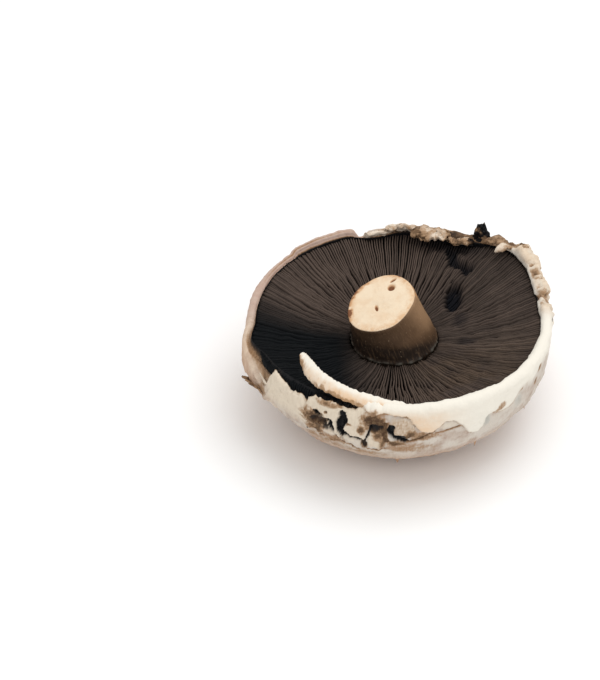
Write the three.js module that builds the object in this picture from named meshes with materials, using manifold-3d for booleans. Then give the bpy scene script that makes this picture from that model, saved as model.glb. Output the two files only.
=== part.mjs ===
// A portobello mushroom as picked, lying on its cap with the gills and the cut stem up.
// Millimetres, +Z up. The origin is the middle of the small flat spot that the cap rests on.
// Angles run anticlockwise from +X, seen from above; -Y is the side with the torn rim.
import * as THREE from "three";
import { mergeVertices } from "three/addons/utils/BufferGeometryUtils.js";
import Module from "manifold-3d";

// Driving dimensions of the cap
const CAP_RADIUS = 55;
const RIM_HEIGHT = 42;
const REST_RADIUS = 12;
const SIDE_POWER = 2.6; // the cap's side is a superellipse: powers over 2 give it a full, square shoulder
const CROWN_POWER = 2.5;
const LIP_THICKNESS = 3.8;
const WALL_FROM = 9; // degrees along the superellipse, from the crown
const WALL_TO = 84;
const SECTORS = 96;
const WALL_STEPS = 17;

// Driving dimensions of the gills
const GILLS = 192;
const GILL_OUTER = CAP_RADIUS - LIP_THICKNESS;
const GILL_DROP = 10; // the crests by the stem lie this far under the rim
const GILL_EDGE_DROP = 1.6; // and by the rim this far
const GILL_DEPTH_INNER = 6.5;
const GILL_DEPTH_OUTER = 4.2;
const GILL_FOOT = 0.9; // the flesh that the gills hang from
const GILL_RINGS = [16.2, 21, 27, 34, 42, GILL_OUTER];
const BED_RINGS = [GILL_RINGS[0], 27, 40, GILL_OUTER];
const GILL_STARTS = [16, 33, 20, 33]; // radius where each gill of a group of four begins

// Driving dimensions of the stem
const STEM_BASE_RADIUS = 15.3;
const STEM_TOP_RADIUS = 12.2;
const STEM_LEAN = new THREE.Vector3(-5, 0, 16.1);
const STEM_CUT_NORMAL = new THREE.Vector3(-0.25, -0.23, 0.94).normalize();
const STEM_SIDES = 40;

const GAP = 0.3; // between touching pieces
const SEED = 7;

const deg = THREE.MathUtils.degToRad;
const smooth = THREE.MathUtils.smoothstep;
const lerp = THREE.MathUtils.lerp;

// A seeded draw from 0 to 1, so that the same mushroom grows each time.
function draws(seed) {
  let state = seed;
  return () => {
    state = (state * 1664525 + 1013904223) % 4294967296;
    return state / 4294967296;
  };
}

// 1 at the middle angle, falling to 0 at half a width to each side, in degrees.
function bump(theta, middle, width) {
  const away = Math.abs(((THREE.MathUtils.radToDeg(theta) - middle + 540) % 360) - 180);
  return 1 - smooth(away, 0, width / 2);
}

// How far the rim stands out from a circle, as a share of the radius.
function planOutline(theta) {
  const offCentre = 0.03 * Math.cos(theta);
  const waves = 0.008 * Math.cos(2 * theta + 0.6) + 0.006 * Math.cos(5 * theta + 1.9);
  return offCentre + waves + 0.05 * bump(theta, 36, 54) + 0.045 * bump(theta, 192, 24);
}

// How far the whole rim is lifted, gills and all.
function rimLift(theta) {
  const lowered = 1.3 * bump(theta, 128, 70) + 2.2 * bump(theta, 98, 26);
  return 0.7 * Math.sin(3 * theta + 0.8) + 3.4 * bump(theta, 36, 60) - lowered;
}

// How much of the wall's height is torn away, which leaves the ends of the gills bare.
function rimTear(theta) {
  const lostBand = 4.6 * bump(theta, 226, 50);
  const notches = 6 * bump(theta, 203, 13) + 2.5 * bump(theta, 103, 10);
  return lostBand + notches + 2.5 * bump(theta, 186, 26) + 1.5 * bump(theta, 60, 20);
}

// Lumps where the torn skin has rolled up along the rim.
function rimRoll(theta) {
  return 1.2 * bump(theta, 29, 26) + 1.0 * bump(theta, 5, 20) + 0.8 * bump(theta, 45, 12);
}

// The shape that growth gave the cap and the gills together, from a plain turned form.
function grow(radius, theta, height) {
  const out = radius * (1 + planOutline(theta) * smooth(radius, 17, 50));
  const lift = rimLift(theta) * smooth(radius, 20, 51) * smooth(height, 16, RIM_HEIGHT);
  return new THREE.Vector3(out * Math.cos(theta), out * Math.sin(theta), height + lift);
}

// Turns a profile of [radius, height] pairs about +Z, then moves each point by place(radius, theta, height).
function turned(profile, sectors, place) {
  const geometry = new THREE.LatheGeometry(profile.map(([r, z]) => new THREE.Vector2(r, z)), sectors);
  geometry.rotateX(Math.PI / 2);
  const position = geometry.getAttribute("position");
  for (let i = 0; i < position.count; i++) {
    const [x, y, z] = [position.getX(i), position.getY(i), position.getZ(i)];
    const moved = place(Math.hypot(x, y), Math.atan2(y, x), z);
    position.setXYZ(i, moved.x, moved.y, moved.z);
  }
  return geometry;
}

// The height of the gills' crests over a radius, and of the bed of flesh that they stand in.
function crestHeight(radius) {
  const share = Math.max(0, (radius - GILL_RINGS[0]) / (GILL_OUTER - GILL_RINGS[0]));
  return lerp(RIM_HEIGHT - GILL_DROP, RIM_HEIGHT - GILL_EDGE_DROP, share ** 1.6);
}

function bedHeight(radius) {
  const share = Math.max(0, (radius - GILL_RINGS[0]) / (GILL_OUTER - GILL_RINGS[0]));
  const inner = RIM_HEIGHT - GILL_DROP - GILL_DEPTH_INNER;
  const outer = RIM_HEIGHT - GILL_EDGE_DROP - GILL_DEPTH_OUTER;
  return lerp(inner, outer, share ** 2);
}

// The cap's section from the middle of its crown, round the side, over the lip and down the inside.
function capProfile() {
  const crown = [[0, 0], [REST_RADIUS, 0]];
  for (let i = 0; i < WALL_STEPS; i++) {
    const turn = deg(lerp(WALL_FROM, WALL_TO, i / (WALL_STEPS - 1)));
    crown.push([
      CAP_RADIUS * Math.sin(turn) ** (2 / SIDE_POWER),
      RIM_HEIGHT * (1 - Math.cos(turn) ** (2 / CROWN_POWER)),
    ]);
  }
  const lip = [
    [CAP_RADIUS - 0.3, RIM_HEIGHT - 2],
    [CAP_RADIUS - 1.1, RIM_HEIGHT + 0.3],
    [CAP_RADIUS - 2.2, RIM_HEIGHT + 0.8],
    [CAP_RADIUS - 3.2, RIM_HEIGHT + 0.2],
    [GILL_OUTER + GAP, RIM_HEIGHT - 1.4],
  ];
  const bed = [...BED_RINGS].reverse().map((r) => [r === GILL_OUTER ? r + GAP : r, bedHeight(r) - GAP]);
  return [...crown, ...lip, ...bed, [0, bedHeight(0) - GAP]];
}

// Low overlapping scales on the skin: rows of tufts whose free ends stand off it, widest round the side.
const SCALE_ROW = 6.4;
const SCALE_ROWS = 12;
const SCALE_RISE = 1.1;
function scaleRelief() {
  const draw = draws(SEED);
  const row = () => ({ count: 17 + Math.floor(draw() * 8), turn: draw() * 2 * Math.PI });
  const rows = Array.from({ length: SCALE_ROWS }, row);
  return (theta, along) => {
    const index = Math.floor(along / SCALE_ROW);
    const free = along / SCALE_ROW - index;
    const { count, turn } = rows[index];
    const tuft = Math.max(0, Math.sin(count * theta + turn) + 0.35 * Math.sin(3 * theta + turn));
    return SCALE_RISE * tuft * free;
  };
}

function capBody() {
  const relief = scaleRelief();
  return turned(capProfile(), SECTORS, (radius, theta, height) => {
    const onWall = radius > GILL_OUTER && height > 20;
    const tear = onWall ? rimTear(theta) * smooth(height, 16, RIM_HEIGHT - 4) : 0;
    const roll = rimRoll(theta) * smooth(height, RIM_HEIGHT - 7, RIM_HEIGHT) * (radius > GILL_OUTER + 1 ? 1 : 0);
    const isSkin = radius > REST_RADIUS + 3 && height < RIM_HEIGHT - 12 && height < bedHeight(radius) - 2;
    const swell = isSkin ? relief(theta, Math.hypot(radius - REST_RADIUS, height)) : 0;
    return grow(radius + swell + roll * 0.6, theta, height - tear + roll);
  });
}

// A bent plate that stands on the rim, from a box of 1 by 1 by 1: along the rim, through the skin and up.
function plate(steps, place) {
  const geometry = new THREE.BoxGeometry(1, 1, 1, steps, 1, 3);
  const position = geometry.getAttribute("position");
  for (let i = 0; i < position.count; i++) {
    const moved = place(position.getX(i) + 0.5, position.getY(i), position.getZ(i) + 0.5);
    position.setXYZ(i, moved.x, moved.y, moved.z);
  }
  return geometry;
}

// A flake of torn skin between two angles. It leans over by lean as it rises, inwards where that is negative.
function flake({ from, to, foot, rise, lean, radius, thickness, taper = 0.5 }) {
  return plate(5, (along, through, up) => {
    const narrowed = lerp(0.5, along, 1 - taper * up * up);
    const theta = deg(lerp(from, to, narrowed));
    const ragged = 1 - 0.25 * Math.abs(Math.sin(7 * along + from)) * up;
    const reach = radius + lean * up * up + through * thickness * (1 - 0.4 * up);
    return grow(reach, theta, foot + rise * up * ragged);
  });
}

// The band of the rim that has peeled off the wall on the torn side and curls up over the gills.
const PEELED_BAND = { from: 268, to: 220, thickness: 2.6 };
function peeledBand() {
  const { from, to, thickness } = PEELED_BAND;
  return plate(12, (along, through, up) => {
    const theta = deg(lerp(from, to, along));
    const free = smooth(along, 0.15, 1);
    const foot = lerp(35.5, 41.5, free) + 2.5 * smooth(along, 0.8, 1);
    const top = lerp(42.2, 45.6, free) + 1.6 * smooth(along, 0.75, 1);
    const tip = 1 - 0.6 * smooth(along, 0.85, 1);
    const middle = lerp(53, 47.5, free ** 1.3) - 1.2 * Math.sin(Math.PI * up) * free;
    const reach = middle + through * thickness * tip * (1 - 0.3 * up);
    return grow(reach, theta, lerp(foot, top, 0.5 + (up - 0.5) * tip));
  });
}

// The torn flakes that stand on the rim: the far side's curled skin, and the splayed piece on the left.
const FLAKES = [
  { from: 101, to: 84, foot: 39.5, rise: 4.2, lean: -3.2, radius: 52.8, thickness: 2, taper: 0.15 },
  { from: 82, to: 62, foot: 39, rise: 5.8, lean: -4.6, radius: 53.2, thickness: 2.6, taper: 0.3 },
  { from: 63, to: 56, foot: 38, rise: 4.4, lean: -3, radius: 53, thickness: 2.4, taper: 0.3 },
  { from: 57, to: 49, foot: 38, rise: 8.5, lean: 0.6, radius: 53, thickness: 2.4, taper: 0.55 },
  { from: 47, to: 42, foot: 39.5, rise: 5.4, lean: -3, radius: 53, thickness: 1.8, taper: 0.4 },
  { from: 211, to: 206, foot: 34, rise: 6.8, lean: 0.4, radius: 53.6, thickness: 2.2, taper: 0.6 },
  { from: 210, to: 192, foot: 16, rise: 12, lean: 8, radius: 49, thickness: 2.4, taper: 0.45 },
];

// Pits where the torn wall has rotted through, as [angle, depth under the rim, half width, half height].
const PITS = [
  [234, 9.6, 2.6, 2.4],
  [241, 10.8, 1.1, 2.1],
  [247, 7.6, 1.3, 3],
  [267, 10.4, 3, 1.7],
];

function pit([angle, depth, halfWidth, halfHeight]) {
  const theta = deg(angle);
  const geometry = new THREE.SphereGeometry(1, 10, 6);
  geometry.scale(3.2, halfWidth, halfHeight);
  geometry.rotateZ(theta);
  const middle = grow(CAP_RADIUS - 0.4, theta, RIM_HEIGHT - depth);
  geometry.translate(middle.x, middle.y, middle.z);
  return geometry;
}

// The gills: a turned bed whose points are raised into crests, four lengths of gill in turn.
function gillBody() {
  const draw = draws(SEED + 1);
  const variety = Array.from({ length: GILLS }, () => ({ height: 0.75 + 0.25 * draw(), shift: draw() - 0.5 }));
  const top = GILL_RINGS.map((r) => [r, crestHeight(r)]);
  const bottom = BED_RINGS.map((r) => [r, bedHeight(r)]);
  const profile = [...bottom, ...top.reverse()];
  const closed = [...profile, profile[0]];
  const pitch = (2 * Math.PI) / GILLS;
  return turned(closed, GILLS * 2, (radius, theta, height) => {
    const line = Math.round(theta / (pitch / 2));
    const index = ((Math.floor(line / 2) % GILLS) + GILLS) % GILLS;
    const isTop = height > bedHeight(radius) + 1;
    const isCrest = line % 2 === 0 && radius >= GILL_STARTS[index % 4];
    const { height: share, shift } = variety[index];
    const bruise = 0.75 * bump(theta, 47, 26) * smooth(radius, 20, 24) * (1 - smooth(radius, 29, 34));
    const floor = bedHeight(radius) + GILL_FOOT;
    const crest = lerp(floor, height, share * (1 - bruise));
    const sway = 0.012 * Math.sin(radius / 5 + 3 * theta) + (line % 2 === 0 ? shift * pitch * 0.25 : 0);
    const z = isTop ? (isCrest ? crest : floor) : height;
    return grow(radius, theta + sway, z);
  });
}

// The stem: broad at the foot, leaning, and cut off aslant.
function stemBody() {
  const foot = bedHeight(0) + GAP / 2;
  const base = RIM_HEIGHT - GILL_DROP;
  const top = base + STEM_LEAN.z;
  const levels = [foot, base - 1, base + 1, base + 4, base + 8, base + 12, top - 1];
  const side = levels.map((z) => {
    const share = smooth(z, base, top) * 0.5 + 0.5 * THREE.MathUtils.clamp((z - base) / STEM_LEAN.z, 0, 1);
    return [lerp(STEM_BASE_RADIUS, STEM_TOP_RADIUS, share), z];
  });
  const profile = [[0, foot], ...side, [STEM_TOP_RADIUS - 0.8, top], [STEM_TOP_RADIUS * 0.5, top], [0, top]];
  return turned(profile, STEM_SIDES, (radius, theta, height) => {
    const share = THREE.MathUtils.clamp((height - base) / STEM_LEAN.z, 0, 1);
    const oval = 1 + 0.035 * share * Math.cos(2 * theta - 1.6) + 0.012 * Math.cos(5 * theta);
    const x = radius * oval * Math.cos(theta);
    const y = radius * oval * Math.sin(theta);
    const slant = -(STEM_CUT_NORMAL.x * x + STEM_CUT_NORMAL.y * y) / STEM_CUT_NORMAL.z;
    return new THREE.Vector3(x + STEM_LEAN.x * share ** 1.1, y, height + slant * share ** 1.5);
  });
}

// Boolean joins and cuts
const wasm = await Module();
wasm.setup();

function solid(geometry) {
  const bare = geometry.clone();
  bare.deleteAttribute("normal");
  bare.deleteAttribute("uv");
  const merged = mergeVertices(bare, 1e-3);
  const mesh = new wasm.Mesh({
    numProp: 3,
    vertProperties: merged.getAttribute("position").array,
    triVerts: new Uint32Array(merged.index.array),
  });
  return new wasm.Manifold(mesh);
}

function geometryOf(manifold) {
  const mesh = manifold.getMesh();
  const geometry = new THREE.BufferGeometry();
  geometry.setAttribute("position", new THREE.BufferAttribute(mesh.vertProperties, 3));
  geometry.setIndex(new THREE.BufferAttribute(mesh.triVerts, 1));
  return geometry;
}

// The room that the gills fill, with a gap round it, which the torn flakes are trimmed by.
function gillRoom() {
  const outer = GILL_OUTER + GAP;
  const crests = [outer, 42, 34, 27, GILL_RINGS[0]].map((r) => [r, crestHeight(r) + GAP]);
  const beds = BED_RINGS.map((r) => [r === GILL_OUTER ? outer : r, bedHeight(r) - GAP]);
  const profile = [...beds, ...crests];
  return turned([...profile, profile[0]], SECTORS, grow);
}

const room = solid(gillRoom());
let cap = solid(capBody());
for (const torn of [...FLAKES.map(flake), peeledBand()]) {
  cap = cap.add(solid(torn).subtract(room));
}
for (const spec of PITS) {
  cap = cap.subtract(solid(pit(spec)));
}
const gills = solid(gillBody());
const stem = solid(stemBody());

function node(name, manifold, color, roughness) {
  const material = new THREE.MeshStandardMaterial({ color, roughness, metalness: 0 });
  const mesh = new THREE.Mesh(geometryOf(manifold), material);
  mesh.name = name;
  return mesh;
}

const mushroom = new THREE.Group();
mushroom.add(node("cap", cap, 0xd9c4ab, 0.75));
mushroom.add(node("gills", gills, 0x3b2f2a, 0.8));
mushroom.add(node("stem", stem, 0xb89a78, 0.7));

export default mushroom;
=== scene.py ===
"""A portobello mushroom as picked, lying on its cap with the gills and the cut stem up.

Shapes are worked out in millimetres and stored in metres. Angles are in degrees, anticlockwise
from +X seen from above, and the torn part of the rim is on the near side, which is -Y.
"""

import logging  # noqa: E402
import math  # noqa: E402
from dataclasses import astuple, dataclass, field  # noqa: E402
from enum import Enum  # noqa: E402

import bmesh  # noqa: E402
import bpy  # noqa: E402
import numpy as np  # noqa: E402
from mathutils import Matrix, Vector, noise  # noqa: E402

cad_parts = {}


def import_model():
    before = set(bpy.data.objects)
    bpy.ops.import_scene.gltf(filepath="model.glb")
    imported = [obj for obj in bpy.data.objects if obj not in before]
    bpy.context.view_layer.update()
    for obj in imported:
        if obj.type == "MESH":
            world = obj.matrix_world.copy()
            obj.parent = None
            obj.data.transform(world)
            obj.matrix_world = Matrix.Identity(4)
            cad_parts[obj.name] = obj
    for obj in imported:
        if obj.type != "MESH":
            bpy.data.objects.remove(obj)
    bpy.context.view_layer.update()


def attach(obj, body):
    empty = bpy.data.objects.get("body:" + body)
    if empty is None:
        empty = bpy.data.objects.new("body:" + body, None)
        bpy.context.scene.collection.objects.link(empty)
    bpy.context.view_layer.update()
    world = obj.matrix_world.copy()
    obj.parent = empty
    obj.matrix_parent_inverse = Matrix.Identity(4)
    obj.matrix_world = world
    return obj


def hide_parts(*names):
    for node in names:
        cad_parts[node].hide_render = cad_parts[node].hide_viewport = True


log = logging.getLogger("mushroom")
MM = 0.001
Array = np.ndarray
Pairs = tuple[tuple[float, float], ...]
MERGE_DISTANCE = 1e-4
SKIN_MASKS = ("band", "flesh", "peach", "tan", "outside", "crown", "scale", "stain", "rot", "grey")


class Slot(Enum):
    """The record's material slots."""

    SKIN = "cap_skin"
    GILL = "gill_brown"
    STEM = "stem_flesh"


def smooth(value: Array, low: float | Array, high: float | Array) -> Array:
    """Rises smoothly from 0 where the value is low to 1 where it is high."""
    share = np.clip((value - low) / (high - low), 0, 1)
    return share * share * (3 - 2 * share)


def turned_by(theta: Array | float, middle: float) -> Array | float:
    """The signed angle from middle to theta, from -180 to 180."""
    return (theta - middle + 540) % 360 - 180


def bump(theta: Array, middle: float, width: float) -> Array:
    """1 at the middle angle, falling smoothly to 0 at half a width to each side."""
    return 1 - smooth(np.abs(turned_by(theta, middle)), 0, width / 2)


def along_stations(theta: Array, stations: Pairs) -> Array:
    """The value at each angle round the rim, from (angle, value) stations in rising order."""
    angles, values = zip(*stations)
    return np.interp(theta, angles, values)


def noise_at(points: Array, grain: float | tuple[float, float, float], octaves: int = 3) -> Array:
    """Smooth noise from about -1 to 1 at rows of x, y, z; grain is the size of its lumps."""
    scaled = (points / np.asarray(grain)).tolist()
    return np.array([noise.fractal(Vector(p), 1.0, 2.0, octaves) for p in scaled])


def spun(section: list[tuple[float, float]], steps: int, closed: bool = False) -> bmesh.types.BMesh:
    """Spins a section once round the Z axis into a closed body.

    Args:
        section: (radius, height) pairs; each vertex of the body remembers its pair's number as "ring".
        steps: How many steps the turn has.
        closed: Whether the section's last point joins its first.

    Returns:
        The bmesh, with its seam and poles merged.
    """
    bm = bmesh.new()
    ring = bm.verts.layers.float.new("ring")
    chain = []
    for number, (radius, height) in enumerate(section):
        vert = bm.verts.new((radius, 0, height))
        vert[ring] = number
        chain.append(vert)
    ends = chain[1:] + chain[:1] if closed else chain[1:]
    edges = [bm.edges.new(pair) for pair in zip(chain, ends)]
    bmesh.ops.spin(
        bm,
        geom=chain + edges,
        cent=(0, 0, 0),
        axis=(0, 0, 1),
        angle=2 * math.pi,
        steps=steps,
        use_merge=True,
    )
    bmesh.ops.remove_doubles(bm, verts=bm.verts, dist=MERGE_DISTANCE)
    return bm


@dataclass(frozen=True)
class Stretch:
    """A stretch of a way: none before start, all from full to fading and none after end."""

    start: float
    full: float
    fading: float
    end: float

    def cover(self, along: Array) -> Array:
        """How far the stretch covers each place, from 0 to 1."""
        return smooth(along, self.start, self.full) * (1 - smooth(along, self.fading, self.end))


@dataclass(frozen=True)
class Growth:
    """The shape that growth gave the cap and the gills together, in millimetres."""

    cap_radius: float = 55.0
    rim_height: float = 42.0
    rest_radius: float = 12.0
    side_power: float = 2.6
    crown_power: float = 2.5
    lip_thickness: float = 3.8
    gill_inner: float = 16.2
    gill_drop: float = 10.0
    gill_edge_drop: float = 1.6
    gill_depth_inner: float = 6.5
    gill_depth_outer: float = 4.2
    crest_power: float = 1.6
    gap: float = 0.3
    side_turns: tuple[float, float] = (9, 84)
    plan_span: tuple[float, float] = (17, 50)
    lift_span: tuple[float, float] = (20, 51)
    lift_from_height: float = 16.0

    @property
    def gill_outer(self) -> float:
        """The radius where the gills meet the rim."""
        return self.cap_radius - self.lip_thickness

    def plan(self, theta: Array) -> Array:
        """How far the rim stands out from a circle.

        Args:
            theta: Angles in degrees.

        Returns:
            A share of the radius for each angle.
        """
        turn = np.radians(theta)
        waves = 0.03 * np.cos(turn) + 0.008 * np.cos(2 * turn + 0.6) + 0.006 * np.cos(5 * turn + 1.9)
        return waves + 0.05 * bump(theta, 36, 54) + 0.045 * bump(theta, 192, 24)

    def lift(self, theta: Array) -> Array:
        """How far the whole rim is lifted at each angle, gills and all."""
        lowered = 1.3 * bump(theta, 128, 70) + 2.2 * bump(theta, 98, 26)
        return 0.7 * np.sin(3 * np.radians(theta) + 0.8) + 3.4 * bump(theta, 36, 60) - lowered

    def place(self, radius: Array, theta: Array, height: Array) -> Array:
        """Bends a plain turned form into the grown one.

        Args:
            radius: Distance from the axis.
            theta: Angle in degrees.
            height: Height over the floor.

        Returns:
            One row of x, y, z for each point, in millimetres.
        """
        out = radius * (1 + self.plan(theta) * smooth(radius, *self.plan_span))
        lifted = self.lift(theta) * smooth(radius, *self.lift_span)
        lifted = lifted * smooth(height, self.lift_from_height, self.rim_height)
        turn = np.radians(theta)
        return np.stack([out * np.cos(turn), out * np.sin(turn), height + lifted], axis=-1)

    def side(self, turn: Array) -> tuple[Array, Array]:
        """The side of the cap before it is bent.

        Args:
            turn: How far round the side, from 0 at the crown to a right angle at the rim, in degrees.

        Returns:
            The radius and the height.
        """
        t = np.radians(turn)
        radius = self.cap_radius * np.sin(t) ** (2 / self.side_power)
        return radius, self.rim_height * (1 - np.cos(t) ** (2 / self.crown_power))

    def share(self, radius: Array) -> Array:
        """0 where the gills begin at the stem and 1 where they meet the rim."""
        return np.clip((radius - self.gill_inner) / (self.gill_outer - self.gill_inner), 0, 1)

    def crest(self, radius: Array) -> Array:
        """The height of the gills' free edges.

        Args:
            radius: Distances from the axis.

        Returns:
            A height over the floor for each distance.
        """
        low = self.rim_height - self.gill_drop
        high = self.rim_height - self.gill_edge_drop
        return low + (high - low) * self.share(radius) ** self.crest_power

    def bed(self, radius: Array) -> Array:
        """The height of the flesh that the gills stand in.

        Args:
            radius: Distances from the axis.

        Returns:
            A height over the floor for each distance.
        """
        low = self.rim_height - self.gill_drop - self.gill_depth_inner
        high = self.rim_height - self.gill_edge_drop - self.gill_depth_outer
        return low + (high - low) * self.share(radius) ** 2


class Wire:
    """An output socket of a shader node, with arithmetic that adds Math nodes."""

    def __init__(self, shader: "Shader", socket: bpy.types.NodeSocket) -> None:
        """Keeps the shader and the socket."""
        self.shader = shader
        self.socket = socket

    def _math(self, operation: str, first: "Wire | float", second: "Wire | float") -> "Wire":
        """Adds one Math node and returns its result."""
        node = self.shader.node("ShaderNodeMath", {"operation": operation}, {0: first, 1: second})
        return self.shader.wire(node)

    def __add__(self, other: "Wire | float") -> "Wire":
        """self + other."""
        return self._math("ADD", self, other)

    __radd__ = __add__

    def __sub__(self, other: "Wire | float") -> "Wire":
        """self - other."""
        return self._math("SUBTRACT", self, other)

    def __rsub__(self, other: "Wire | float") -> "Wire":
        """other - self."""
        return self._math("SUBTRACT", other, self)

    def __mul__(self, other: "Wire | float") -> "Wire":
        """self * other."""
        return self._math("MULTIPLY", self, other)

    __rmul__ = __mul__

    def lowest(self, other: "Wire | float") -> "Wire":
        """The lower of the two."""
        return self._math("MINIMUM", self, other)


class Shader:
    """A material's node tree round one Principled shader."""

    def __init__(self, name: str) -> None:
        """Makes the material with its shader and its output.

        Args:
            name: The material's name.
        """
        self.material = bpy.data.materials.new(name)
        self.material.use_nodes = True
        self.tree = self.material.node_tree
        self.surface = self.tree.nodes["Principled BSDF"]

    def node(self, kind: str, settings: dict | None = None, inputs: dict | None = None) -> bpy.types.Node:
        """Adds one node.

        Args:
            kind: The node's type.
            settings: Its own settings, such as a Math node's operation; they are set first.
            inputs: A value or a Wire for each input, by name or number.

        Returns:
            The node.
        """
        node = self.tree.nodes.new(kind)
        for name, value in (settings or {}).items():
            setattr(node, name, value)
        for name, value in (inputs or {}).items():
            self.feed(node.inputs[name], value)
        return node

    def feed(self, socket: bpy.types.NodeSocket, value: object) -> None:
        """Links a Wire to a socket, or sets the socket's value.

        Args:
            socket: The socket.
            value: A Wire, a number or a colour.
        """
        if isinstance(value, Wire):
            self.tree.links.new(value.socket, socket)
        elif isinstance(value, tuple) and socket.type == "RGBA":
            socket.default_value = (*value, 1.0)
        else:
            socket.default_value = value

    def wire(self, node: bpy.types.Node, output: str | int = 0) -> Wire:
        """One of a node's outputs as a Wire."""
        return Wire(self, node.outputs[output])

    def attribute(self, name: str, output: str = "Fac") -> Wire:
        """Reads an attribute of the mesh."""
        return self.wire(self.node("ShaderNodeAttribute", {"attribute_name": name}), output)

    def place(self) -> Wire:
        """The object's own coordinates, in metres."""
        return self.wire(self.node("ShaderNodeTexCoord"), "Object")

    def noise(
        self, vector: Wire, size: float, detail: float = 3.0, rough: float = 0.55, bend: float = 0.0
    ) -> Wire:
        """Noise from 0 to 1.

        Args:
            vector: The coordinates that it reads.
            size: The size of its lumps, in the coordinates' unit.
            detail: How many finer octaves it has.
            rough: How strong the finer octaves are.
            bend: How far it is distorted.

        Returns:
            The noise's value.
        """
        inputs = {"Vector": vector, "Scale": 1 / size, "Detail": detail}
        inputs.update({"Roughness": rough, "Distortion": bend})
        return self.wire(self.node("ShaderNodeTexNoise", inputs=inputs), "Fac")

    def ease(self, value: Wire, low: float, high: float) -> Wire:
        """Rises smoothly from 0 where the value is low to 1 where it is high."""
        inputs = {"Value": value, "From Min": low, "From Max": high}
        return self.wire(self.node("ShaderNodeMapRange", {"interpolation_type": "SMOOTHSTEP"}, inputs))

    def blend(self, factor: Wire, first: object, second: object) -> Wire:
        """Mixes two colours.

        Args:
            factor: 0 gives the first colour and 1 the second.
            first: A colour or a Wire.
            second: A colour or a Wire.

        Returns:
            The mixed colour.
        """
        node = self.node("ShaderNodeMix", {"data_type": "RGBA"}, {"Factor": factor})
        self.feed(node.inputs[6], first)
        self.feed(node.inputs[7], second)
        return self.wire(node, 2)

    def bump(self, height: Wire, distance: float, strength: float, under: Wire | None = None) -> Wire:
        """A surface normal from a height.

        Args:
            height: The height, from 0 to 1.
            distance: The real height that 1 stands for, in metres.
            strength: How much of it shows.
            under: The normal that this relief lies on, if any.

        Returns:
            The normal.
        """
        inputs = {"Height": height, "Distance": distance, "Strength": strength}
        if under is not None:
            inputs["Normal"] = under
        return self.wire(self.node("ShaderNodeBump", inputs=inputs), "Normal")

    def finish(self, colour: object, roughness: object, normal: Wire, **fixed: float) -> bpy.types.Material:
        """Feeds the Principled shader.

        Args:
            colour: The base colour.
            roughness: The roughness.
            normal: The surface normal.
            fixed: Values that are the same all over, by socket name with _ for a space.

        Returns:
            The material.
        """
        self.feed(self.surface.inputs["Base Color"], colour)
        self.feed(self.surface.inputs["Roughness"], roughness)
        self.feed(self.surface.inputs["Normal"], normal)
        for name, value in fixed.items():
            self.feed(self.surface.inputs[name.replace("_", " ")], value)
        return self.material


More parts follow.
